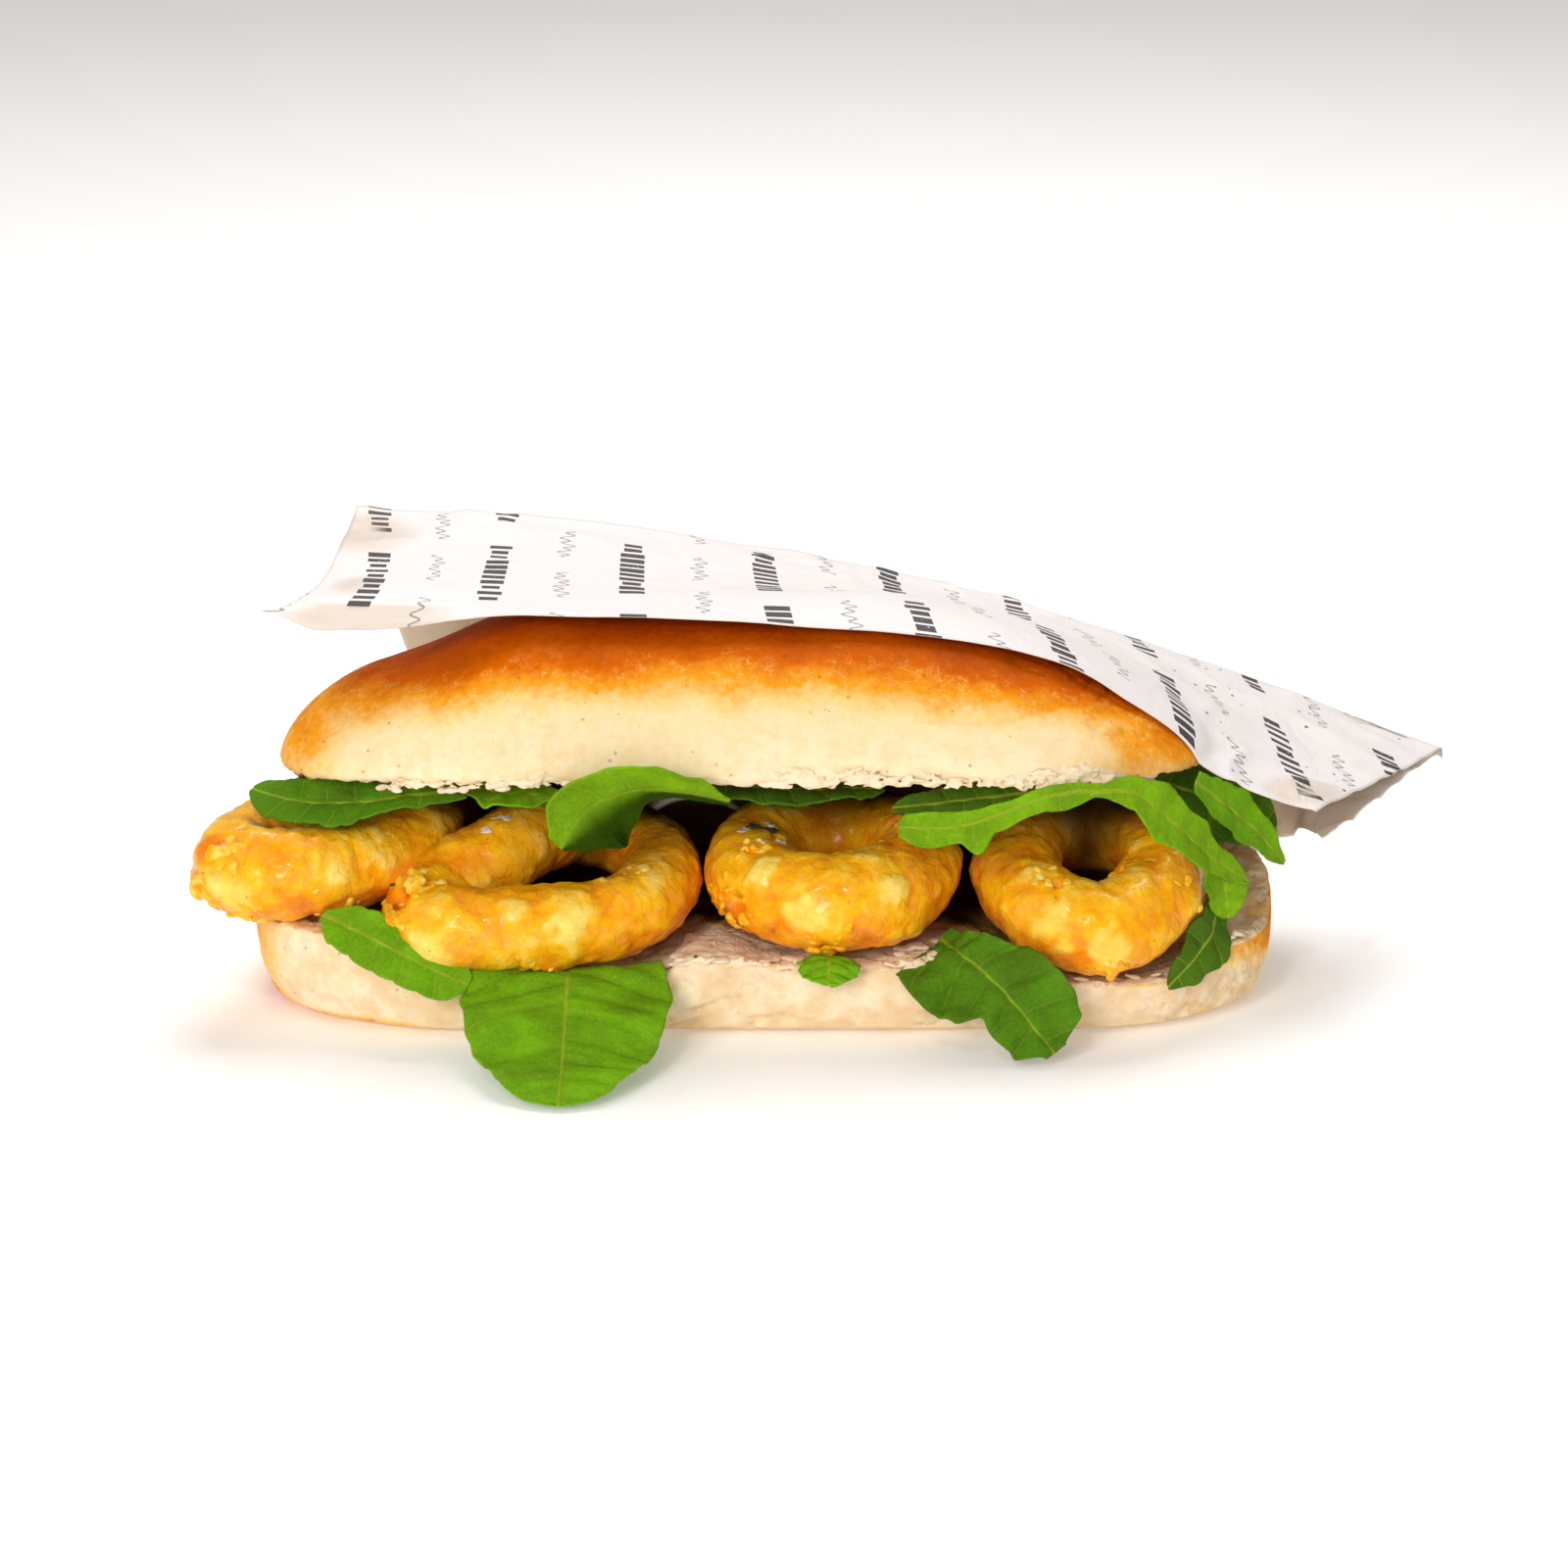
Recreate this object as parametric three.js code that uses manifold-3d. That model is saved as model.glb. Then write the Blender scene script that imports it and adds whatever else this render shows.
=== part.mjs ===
// Fried calamari sandwich: a soft roll slit along the front and hinged at the back, filled with four
// battered squid rings and rocket leaves, under a folded greaseproof sleeve.
// Millimetres, +Z up. +X runs along the roll and -Y is its open front. The origin is the centre of the
// flat base. Every piece is one closed solid with a small gap to its neighbours.
import * as THREE from 'three';
import * as BufferGeometryUtils from 'three/addons/utils/BufferGeometryUtils.js';
import Module from 'manifold-3d';

const { clamp, lerp, smoothstep } = THREE.MathUtils;
const TURN = Math.PI * 2;
const GAP = 0.35; // left between pieces that touch

// ---------------------------------------------------------------------------------- driving dimensions
const ROLL = {
  straight: 45, // half length of the straight sides, which elliptical ends join
  straightFacets: 10, // on each straight side
  endFacets: 16, // round each end
  // Reach of each half from the centre, and the power of its ends' outline, 2 for an ellipse.
  lower: { left: 100.5, right: 100.6, front: 37.5, back: 37.5, square: { left: 2.8, right: 2.5 } },
  upper: { left: 95, right: 88, front: 34, back: 37.5, square: { left: 2, right: 2 } },
  rim: 16.5, // height of the lower half's cut edge at the front
  leftRise: 4, // the cut climbs towards the left end
  backRise: 3.5,
  dish: 1.2, // the cut face lies this much under its own edge
  mouth: 50.2, // height of the upper half's cut edge at the front
  mouthDrop: 17, // how far the upper cut face falls towards the hinge
  endDrop: 5.5, // how far it falls towards both ends
  crown: 76.5, // height of the crust's top
  crownDrop: { left: 8, right: 14 }, // the crust's top is lower towards its ends
  shoulder: 1.2, // over 1, the crust's shoulders are softer than an ellipse
  hinge: { thick: 9.5, bottom: 6, top: 46 },
};
// Where rings press the lower cut face down: from x, to x, depth.
const PRESSED = [[-68, -20, 3.9], [0, 26, 1.2], [46, 80, 4.6]];

const RING = { steps: 30, sides: 12, lumps: [[3, 1, 0.05], [7, -2, 0.04], [5, 3, 0.035], [11, 2, 0.025]] };
// Centre line of each ring, its thickness and the seed of its lumps.
const RINGS = {
  calamari_1: {
    thickness: 17.6,
    seed: 11,
    path: [[-101, -22, 29.8], [-90, -24.5, 29.9], [-79, -18, 30], [-68, -7, 30.6],
      [-65, 5, 31.5], [-76, 9, 32], [-89, 0, 31.6], [-99, -9, 30.2]],
  },
  calamari_2: {
    thickness: 16.6,
    seed: 23,
    path: [[-58.5, -33.4, 22.2], [-65, -28, 21.8], [-62, -19, 25], [-52.5, -13.5, 29.6], [-45.5, -5.5, 31.6],
      [-38, 1.5, 31.4], [-28, 1.5, 29], [-21.5, -6, 27.4], [-20.3, -17, 25.8], [-25.5, -28.5, 23.6],
      [-37, -33, 22.4], [-48, -34, 22.3]],
  },
  calamari_3: {
    thickness: 19,
    seed: 37,
    path: [[13.3, -31.2, 26.2], [2.2, -26.5, 26.8], [-2.3, -15.5, 28.4], [2.4, -4.2, 29.8], [13.5, 0, 30.4],
      [24.6, -4.4, 29.8], [29, -15.5, 28.4], [24.4, -26.6, 26.8]],
  },
  calamari_4: {
    thickness: 17.2,
    seed: 41,
    path: [[64, -34, 21.8], [53.5, -27.5, 24], [49, -15, 27.2], [52.5, -2.5, 29.2], [63.5, 3.5, 30],
      [74.5, -2, 29.2], [77.6, -14, 27.2], [74, -26.5, 24]],
  },
};

const LEAF = { thickness: 0.55, base: 0.5, widest: 0.42, tip: 0.7 };
// Each leaf follows its midrib. face is the side that it shows, width its widest half, base the share of
// that where the leaf starts, round how blunt its tip is, cup how far its edges turn up, and lobes how deep
// its edge is cut and how often.
const LEAVES = {
  rocket_leaf_left_end: {
    rib: [[-57, -24, 46.2], [-68, -25, 45.4], [-80, -21, 42.9], [-91, -18, 42.4], [-99.2, -13, 43.2]],
    face: [0, -0.5, 0.86], width: 6.8, base: 0.35, widest: 0.66, round: 1, cup: 0.06, lobes: [0.06, 3], seed: 3,
  },
  rocket_leaf_roof_left: {
    rib: [[-56, -22, 46.2], [-48, -27, 46.4], [-39, -29, 46.8]],
    face: [0, -0.3, 0.95], width: 6, round: 0.5, cup: 0.08, lobes: [0.1, 2], seed: 5,
  },
  rocket_leaf_curled: {
    rib: [[-6.5, -35, 47.8], [-15, -37.4, 50.2], [-25, -38.6, 50.4], [-33, -39.4, 47], [-38.2, -39, 39.6]],
    face: [-0.05, -0.92, -0.38], width: 9.8, round: 0.3, base: 0.3, cup: 0.3, lobes: [0.03, 2], seed: 7,
    facets: [14, 6],
  },
  rocket_leaf_roof_middle: {
    rib: [[-13, -20, 46.4], [4, -24, 46.6], [23, -23, 46.4]],
    face: [0, -0.15, 0.99], width: 8.5, round: 0.5, cup: 0.03, lobes: [0.08, 4], seed: 9,
  },
  rocket_leaf_dark: {
    rib: [[52, -24.5, 46], [42, -27, 45.6], [33, -28.5, 45], [24.5, -30, 44.6]],
    face: [0, -0.62, 0.78], width: 4.4, round: 0.6, cup: 0.1, lobes: [0.12, 4], seed: 13,
  },
  rocket_leaf_across: {
    rib: [[62.5, -34.2, 50.2], [54, -35.6, 48.4], [45, -36.4, 44.8], [36, -37, 42.6], [25.5, -36.8, 42.8]],
    face: [0.05, -0.8, 0.6], width: 4.6, round: 0.6, cup: 0.12, lobes: [0.3, 3], seed: 15, facets: [16, 4],
  },
  rocket_leaf_right_long: {
    rib: [[61.5, -38.4, 50.4], [69, -37, 50], [77.5, -33.6, 43], [85.5, -28.5, 34.5], [93.5, -23, 27.5]],
    face: [0.4, -0.75, 0.53], width: 5.8, round: 0.1, cup: 0.12, lobes: [0.16, 4], seed: 17, facets: [16, 4],
  },
  rocket_leaf_right_lobe: {
    rib: [[86.2, -21.5, 33.5], [89, -21, 28], [90.5, -19.5, 20.5]],
    face: [0.5, -0.85, 0.1], width: 4, round: 0.5, cup: 0.1, lobes: [0.12, 2], seed: 19,
  },
  rocket_leaf_right_tip: {
    rib: [[83, -20, 46.8], [88.5, -16, 41.5], [95, -11, 35], [102, -6, 26]],
    face: [0.45, -0.75, 0.5], width: 5.6, round: 0.1, cup: 0.14, lobes: [0.12, 3], seed: 21,
  },
  rocket_leaf_right_back: {
    rib: [[82, -2, 40], [88, -2, 39.6], [94.5, -1, 36.6], [101, 1, 31]],
    face: [0.3, -0.5, 0.8], width: 6, round: 0.4, cup: 0.08, lobes: [0.14, 3], seed: 25,
  },
  rocket_leaf_over_rim: {
    rib: [[87.6, -21.6, 26], [86.6, -27, 20], [82.6, -31.6, 15.4], [77.4, -35, 10.6]],
    face: [0.66, -0.7, 0.2], width: 6.4, round: 0.4, cup: 0.12, lobes: [0.14, 3], seed: 27,
  },
  rocket_leaf_front_right: {
    rib: [[34.2, -27, 17.2], [37, -36.5, 18], [43, -42.4, 15], [49.5, -46.6, 8.8], [55, -50.5, 2.6]],
    face: [-0.1, -0.8, 0.6], width: 13.2, base: 0.8, round: 0.8, cup: 0.1, lobes: [0.16, 2], seed: 29,
    facets: [14, 6],
  },
  rocket_leaf_small_front: {
    rib: [[12.6, -35.6, 16.5], [12.5, -39, 16.6], [12.3, -43.4, 13.6]],
    face: [0, -0.5, 0.86], width: 6.4, round: 0.8, cup: -0.06, lobes: [0.05, 2], seed: 31,
  },
  rocket_leaf_front_left: {
    rib: [[-37.3, -35.4, 13.8], [-37.3, -39.6, 14], [-37.3, -46, 11.6], [-37.5, -60, 5], [-37.7, -74.5, 1.2]],
    face: [0, -0.5, 0.86], width: 20.4, base: 0.9, widest: 0.25, round: 0.75, cup: 0.02, lobes: [0.035, 5],
    seed: 33, facets: [18, 6],
  },
  rocket_leaf_front_lobe: {
    rib: [[-84.5, -30, 23.2], [-76, -35, 20.8], [-66, -39.8, 17.2], [-56, -41.6, 13]],
    face: [0, -0.76, 0.64], width: 5.8, round: 0.6, cup: 0.06, lobes: [0.12, 3], seed: 35,
  },
  rocket_leaf_inside_left: {
    rib: [[-46, -12, 15.4], [-34, -14, 15.2], [-22, -9, 15.8]],
    face: [0, 0, 1], width: 7, round: 0.6, cup: 0.1, lobes: [0.1, 3], seed: 39,
  },
  rocket_leaf_inside_right: {
    rib: [[53, -8, 14.6], [62, -12, 14.4], [72, -10, 14.6]],
    face: [0, 0, 1], width: 6, round: 0.6, cup: 0.1, lobes: [0.1, 3], seed: 43,
  },
};

const ONION = {
  path: [[-23.5, 8, 27.6], [-22.5, 9.4, 32.2], [-17, 10.6, 35], [-9.5, 11, 34.6], [-5, 12, 31.6]],
  wide: 5.4,
  thick: 2.2,
  facets: [14, 8],
};

const SLEEVE = {
  thickness: 0.6,
  facets: [32, 7, 6], // along, on the flap, on the back panel
  front: [[-96, -14, 79.4], [-40, -14, 78.4], [2, -14, 76.6], [48, -14, 71.2], [64, -14, 65.6], [78, -14, 54],
    [90, -14, 45.6], [107, -14, 38.6]],
  crease: [[-83, 44, 85.5], [-32, 44, 82.6], [24, 44, 72.6], [78, 44, 57.6], [140, 44, 34.6]],
  hem: [[-65, 47, 28], [0, 46.5, 24], [70, 46, 17], [104, 32, 19], [108, 10, 28], [109, -11, 33]],
  rest: 1.7, // clear of the crust that it lies on
  hollow: 6, // the left edge draws in between its corners
  curl: 1.6, // the front edge turns down beside the left corner
};

// ---------------------------------------------------------------------------------------------- solids
const wasm = await Module();
wasm.setup();

function signedVolume(geometry) {
  const { position } = geometry.attributes;
  const corners = [new THREE.Vector3(), new THREE.Vector3(), new THREE.Vector3()];
  let volume = 0;
  for (let i = 0; i < geometry.index.count; i += 3) {
    corners.forEach((corner, k) => corner.fromBufferAttribute(position, geometry.index.getX(i + k)));
    volume += corners[0].dot(corners[1].cross(corners[2])) / 6;
  }
  return volume;
}

/** Joins shared corners, drops triangles that have closed up and turns the faces outwards. */
function closed(geometry) {
  geometry.deleteAttribute('normal');
  geometry.deleteAttribute('uv');
  const merged = BufferGeometryUtils.mergeVertices(geometry, 1e-4);
  const kept = [];
  for (let i = 0; i < merged.index.count; i += 3) {
    const [a, b, c] = [0, 1, 2].map((k) => merged.index.getX(i + k));
    if (a !== b && b !== c && c !== a) kept.push(a, b, c);
  }
  merged.setIndex(kept);
  if (signedVolume(merged) < 0) merged.setIndex(kept.reverse());
  return merged;
}

/** A plane bent by place(along, across), both 0 to 1, into a closed form. */
function bent(columns, rows, place) {
  const plane = new THREE.PlaneGeometry(1, 1, columns, rows);
  const { position, uv } = plane.attributes;
  for (let i = 0; i < position.count; i += 1) {
    position.setXYZ(i, ...place(uv.getX(i), uv.getY(i)));
  }
  return plane;
}

/** A sheet of even thickness: both faces are split into triangles alike and a rim joins them. */
function thickSheet(columns, rows, place, thickness) {
  const sheet = bent(columns, rows, place);
  sheet.computeVertexNormals();
  const { position, normal } = sheet.attributes;
  const half = position.count;
  const points = [];
  for (const side of [0.5, -0.5]) {
    for (let i = 0; i < half; i += 1) {
      const point = new THREE.Vector3().fromBufferAttribute(position, i);
      const lift = new THREE.Vector3().fromBufferAttribute(normal, i).multiplyScalar(side * thickness);
      points.push(...point.add(lift).toArray());
    }
  }
  const faces = [];
  const edges = new Set();
  for (let i = 0; i < sheet.index.count; i += 3) {
    const [a, b, c] = [0, 1, 2].map((k) => sheet.index.getX(i + k));
    faces.push(a, b, c, a + half, c + half, b + half);
    [[a, b], [b, c], [c, a]].forEach((edge) => edges.add(edge.join()));
  }
  for (const edge of edges) {
    const [from, to] = edge.split(',').map(Number);
    if (!edges.has([to, from].join())) faces.push(to, from, from + half, to, from + half, to + half);
  }
  const solid = new THREE.BufferGeometry();
  solid.setAttribute('position', new THREE.Float32BufferAttribute(points, 3));
  solid.setIndex(faces);
  return closed(solid);
}

function toManifold(geometry) {
  return new wasm.Manifold(new wasm.Mesh({
    numProp: 3,
    vertProperties: new Float32Array(geometry.attributes.position.array),
    triVerts: new Uint32Array(geometry.index.array),
  }));
}

function fromManifold(manifold) {
  const mesh = manifold.getMesh();
  const geometry = new THREE.BufferGeometry();
  geometry.setAttribute('position', new THREE.BufferAttribute(mesh.vertProperties, 3));
  geometry.setIndex(new THREE.BufferAttribute(mesh.triVerts, 1));
  return geometry;
}

/** The geometry with every neighbour cut away; only its largest piece stays. */
function clearOf(geometry, neighbours) {
  let solid = toManifold(geometry);
  for (const neighbour of neighbours) solid = solid.subtract(neighbour);
  const pieces = solid.decompose().sort((a, b) => b.volume() - a.volume());
  return fromManifold(pieces[0]);
}

/** Smooth uneven value from -1 to 1 that repeats once per turn along and around. */
function lumps(along, around, seed) {
  THREE.MathUtils.seededRandom(seed);
  return RING.lumps.reduce((sum, [m, n, size]) => {
    const phase = THREE.MathUtils.seededRandom() * TURN;
    return sum + size * Math.sin(TURN * (m * along + n * around) + phase);
  }, 0);
}

function curveThrough(points, isClosed = false) {
  return new THREE.CatmullRomCurve3(points.map((p) => new THREE.Vector3(...p)), isClosed, 'centripetal');
}

function softMax(a, b, blend) {
  return (a + b + Math.hypot(a - b, blend)) / 2;
}

// ------------------------------------------------------------------------------------------------ roll
const SIDE_FACETS = ROLL.straightFacets + ROLL.endFacets;

/** Point of a half's plan outline, counted in facets from its front left corner and drawn in towards its
 * middle line by the two reaches. */
function outline(facet, half, reachAlong, reachAcross) {
  const side = facet % (2 * SIDE_FACETS) < SIDE_FACETS ? 1 : -1; // 1 along the front and round the right end
  const part = facet % SIDE_FACETS;
  if (part < ROLL.straightFacets) {
    const along = lerp(-1, 1, part / ROLL.straightFacets) * ROLL.straight * side;
    return [along, -side * reachAcross * (side > 0 ? half.front : half.back)];
  }
  const angle = ((part - ROLL.straightFacets) / ROLL.endFacets) * Math.PI - Math.PI / 2;
  const end = (side > 0 ? half.right : half.left) - ROLL.straight;
  const power = 2 / (side > 0 ? half.square.right : half.square.left);
  const across = Math.sign(angle) * side * Math.abs(Math.sin(angle)) ** power;
  return [side * (ROLL.straight + Math.max(0, Math.cos(angle)) ** power * end * reachAlong),
    across * reachAcross * (across < 0 ? half.front : half.back)];
}

function grown({ left, right, front, back, square }, by) {
  return { left: left + by, right: right + by, front: front + by, back: back + by, square };
}

/** Height of the lower half's cut face. */
function floorHeight(x, y) {
  const pressed = PRESSED.reduce((sum, [from, to, depth]) => (
    sum + depth * smoothstep(x, from - 7, from + 3) * (1 - smoothstep(x, to - 3, to + 7))), 0);
  return ROLL.rim + ROLL.leftRise * smoothstep(-x, 66, 82) + ROLL.backRise * smoothstep(y, 2, 30)
    - pressed * (1 - smoothstep(y, -14, 4));
}

/** Height of the upper half's cut face, which falls to the hinge like the roof of a wedge. */
function roofHeight(x, y) {
  return ROLL.mouth - ROLL.mouthDrop * smoothstep(y, 10, 34) - ROLL.endDrop * (Math.abs(x) / 95) ** 4;
}

/** How far a place lies from the middle line, 1 at the upper half's outline. */
function upperReach(x, y) {
  const half = ROLL.upper;
  const end = (x > 0 ? half.right : half.left) - ROLL.straight;
  return Math.hypot(Math.max(0, Math.abs(x) - ROLL.straight) / end, y / (y < 0 ? half.front : half.back));
}

/** Height of the crust over a place that lies at a given reach from the middle line. */
function crustHeight(x, y, reach) {
  const edge = roofHeight(x, y);
  const crown = ROLL.crown - ROLL.crownDrop.left * smoothstep(-x, 40, 75)
    - ROLL.crownDrop.right * smoothstep(x, 15, 95);
  return edge + (crown - edge) * (1 - clamp(reach, 0, 1) ** 2) ** (ROLL.shoulder / 2);
}

/** Rows of a half from one middle line over its outside to the other: reach along, reach across, height. */
function rollHalf(half, rows) {
  return closed(bent(2 * SIDE_FACETS, rows.length - 1, (turn, row) => {
    const [reachAlong, reachAcross, height] = rows[Math.round(row * (rows.length - 1))];
    const [x, y] = outline(Math.round(turn * 2 * SIDE_FACETS), half, reachAlong, reachAcross);
    return [x, y, height(x, y)];
  }));
}

function lowerHalf(grow) {
  const wall = (share) => (x, y) => share * (floorHeight(x, y) + grow);
  const cut = (reach) => (x, y) => floorHeight(x, y) + grow - ROLL.dish * (1 - reach ** 4);
  return rollHalf(grown(ROLL.lower, grow), [
    [0, 0, wall(0)], [0.86, 0.78, wall(0)], [0.945, 0.92, wall(0.14)], [0.985, 0.98, wall(0.38)],
    [1, 1, wall(0.68)], [0.985, 0.98, wall(1)],
    ...[0.93, 0.75, 0.5, 0.25, 0].map((reach) => [reach, reach, cut(reach)]),
  ]);
}

function upperHalf(grow) {
  const crust = [0, 12, 24, 36, 48, 60, 70, 78].map((degrees) => {
    const reach = Math.sin(THREE.MathUtils.degToRad(degrees));
    return [reach, reach, (x, y) => crustHeight(x, y, reach) + grow];
  });
  const bulge = [1, 1, (x, y) => roofHeight(x, y) + 2];
  const roof = [0.975, 0.85, 0.6, 0.3, 0].map((reach) => [reach, reach, (x, y) => roofHeight(x, y) - grow]);
  return rollHalf(grown(ROLL.upper, grow), [...crust, bulge, ...roof]);
}

/** The uncut strip along the back that joins the halves. */
function rollHinge(grow) {
  const { bottom, top } = ROLL.hinge;
  const thick = ROLL.hinge.thick + grow;
  const inner = 1 - thick / ROLL.lower.back;
  const middle = (1 + inner) / 2;
  const section = [[0.97, bottom], [1.004, 13], [1.01, 22], [1.01, 32], [1.003, 40], [0.96, top],
    [inner, top - 2], [inner - 0.01, 30], [inner, bottom]];
  const wrap = 3.5 + grow / 4; // how far the strip runs on round both ends, in facets
  const from = SIDE_FACETS - wrap;
  const to = SIDE_FACETS + ROLL.straightFacets + wrap;
  const steps = 24;
  return closed(bent(steps, section.length, (along, around) => {
    const capped = along === 0 || along === 1;
    const corner = section[Math.round(around * section.length) % section.length];
    const [reach, height] = capped ? [middle, (bottom + top) / 2] : corner;
    const inset = clamp(along, 1 / steps, 1 - 1 / steps);
    const facet = lerp(from, to, inset);
    const low = outline(facet, grown(ROLL.lower, grow), reach, reach);
    const high = outline(facet, grown(ROLL.upper, grow), reach, reach);
    const share = smoothstep(height, 16, 36);
    return [lerp(low[0], high[0], share), lerp(low[1], high[1], share), height];
  }));
}

/** The whole roll, grown by the clearance when it cuts its neighbours. */
function roll(clearance = 0) {
  return [lowerHalf, rollHinge, upperHalf]
    .map((part) => toManifold(part(clearance)))
    .reduce((whole, part) => whole.add(part));
}

// ------------------------------------------------------------------------------------------- fillings
/** A closed lumpy tube along its path, grown by the clearance when it cuts its neighbours. */
function batteredRing({ path, thickness, seed }, clearance = 0) {
  const curve = curveThrough(path, true);
  return closed(bent(RING.steps, RING.sides, (along, around) => {
    const centre = curve.getPointAt(along % 1);
    const tangent = curve.getTangentAt(along % 1);
    const side = new THREE.Vector3(0, 0, 1).cross(tangent).normalize();
    const up = tangent.clone().cross(side);
    const angle = (around % 1) * TURN;
    const radius = (thickness / 2) * (1 + lumps(along % 1, around % 1, seed)) + clearance;
    return centre.addScaledVector(side, Math.cos(angle) * radius)
      .addScaledVector(up, Math.sin(angle) * radius).toArray();
  }));
}

/** Half width of a leaf from its base at 0 to its tip at 1, as a share of its widest. */
function leafWidth(along, { base = LEAF.base, widest = LEAF.widest, round, lobes: [depth, count] }) {
  const past = clamp((along - widest) / (1 - widest), 0, 1);
  const body = along < widest
    ? lerp(base, 1, smoothstep(along, 0, widest))
    : lerp(1 - past, Math.sqrt(1 - past ** 2), 0.5 + round / 2);
  return body * (1 - depth * (0.5 + 0.5 * Math.cos(TURN * along * count)));
}

/** A thin wavy leaf along its midrib. */
function leaf(spec, clearance = 0) {
  const { rib, face, width, cup, seed, facets: [steps, across] = [12, 4] } = spec;
  const curve = curveThrough(rib);
  const facing = new THREE.Vector3(...face).normalize();
  return thickSheet(steps, across, (along, v) => {
    const t = v * 2 - 1;
    const tangent = curve.getTangentAt(along);
    const lateral = facing.clone().cross(tangent).normalize();
    const normal = tangent.clone().cross(lateral);
    const half = Math.max(LEAF.tip, width * leafWidth(along, spec));
    const wave = 0.07 * width * Math.abs(t) * Math.sin(TURN * 2.5 * along + seed);
    return curve.getPointAt(along).addScaledVector(lateral, t * half)
      .addScaledVector(normal, cup * half * t * t + wave * Math.min(1, half / width)).toArray();
  }, LEAF.thickness + 2 * clearance);
}

/** A strip of raw onion standing on edge in an arch. */
function onion(clearance = 0) {
  const { path, wide, thick, facets: [steps, sides] } = ONION;
  const curve = curveThrough(path);
  return closed(bent(steps, sides, (along, around) => {
    const tangent = curve.getTangentAt(along);
    const across = new THREE.Vector3(0, 1, 0).cross(tangent).normalize();
    const flat = tangent.clone().cross(across);
    const angle = (around % 1) * TURN;
    const size = along === 0 || along === 1 ? 0 : 0.5; // each end closes to a point
    return curve.getPointAt(clamp(along, 0.5 / steps, 1 - 0.5 / steps))
      .addScaledVector(across, Math.cos(angle) * size * (thick + 2 * clearance))
      .addScaledVector(flat, Math.sin(angle) * size * (wide + 2 * clearance)).toArray();
  }));
}

// --------------------------------------------------------------------------------------------- sleeve
/** The folded sheet: the flap lies on the crust from its front edge to the crease, the panel hangs behind. */
function sleeve(clearance = 0) {
  const { facets: [along, onFlap, onPanel], front, crease, hem, rest, hollow, curl, thickness } = SLEEVE;
  const [frontEdge, creaseEdge, hemEdge] = [front, crease, hem].map((points) => curveThrough(points));
  const rows = onFlap + onPanel;
  return thickSheet(along, rows, (u, v) => {
    const row = Math.round(v * rows);
    const fold = creaseEdge.getPointAt(u);
    if (row > onFlap) {
      return fold.lerp(hemEdge.getPointAt(u), (row - onFlap) / onPanel).toArray();
    }
    const towardsFold = row / onFlap;
    const point = frontEdge.getPointAt(u).lerp(fold, towardsFold);
    point.x += hollow * (1 - smoothstep(u, 0, 0.2)) * Math.sin(Math.PI * Math.sqrt(towardsFold));
    const besideCorner = smoothstep(u, 0, 0.04) * (1 - smoothstep(u, 0.06, 0.2));
    point.z -= curl * besideCorner * (1 - smoothstep(towardsFold, 0, 0.16));
    const reach = upperReach(point.x, point.y);
    if (reach < 1) point.z = softMax(point.z, crustHeight(point.x, point.y, reach) + rest, 1);
    return point.toArray();
  }, thickness + 2 * clearance);
}

// ------------------------------------------------------------------------------------------- assembly
const FINISHES = {
  crust: { color: 0xd9924a, roughness: 0.6 },
  batter: { color: 0xe8a62c, roughness: 0.55 },
  rocket: { color: 0x3f8f1e, roughness: 0.5 },
  onion: { color: 0xd9d2c8, roughness: 0.4 },
  paper: { color: 0xf3ece8, roughness: 0.7 },
};

const sandwich = new THREE.Group();

function piece(name, geometry, finish) {
  const mesh = new THREE.Mesh(geometry, new THREE.MeshStandardMaterial({ ...FINISHES[finish], metalness: 0 }));
  mesh.name = name;
  sandwich.add(mesh);
}

piece('roll', fromManifold(roll()), 'crust');

piece('sleeve', sleeve(), 'paper');

// Every filling gives way to the roll, the sleeve and the fillings before it.
const placed = [roll(GAP), toManifold(sleeve(GAP))];

function filling(name, shape, finish) {
  piece(name, clearOf(shape(0), placed), finish);
  placed.push(toManifold(shape(GAP)));
}

for (const [name, spec] of Object.entries(RINGS).reverse()) {
  filling(name, (clearance) => batteredRing(spec, clearance), 'batter');
}
for (const [name, spec] of Object.entries(LEAVES)) {
  filling(name, (clearance) => leaf(spec, clearance), 'rocket');
}
filling('onion_strip', onion, 'onion');

export default sandwich;
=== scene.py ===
"""Fried calamari sandwich in its folded paper sleeve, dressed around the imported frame."""
import math
import random

import bmesh
import bpy
from bpy.props import FloatProperty, FloatVectorProperty, IntProperty, PointerProperty
from mathutils import Matrix, Vector, noise
from mathutils.bvhtree import BVHTree


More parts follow.
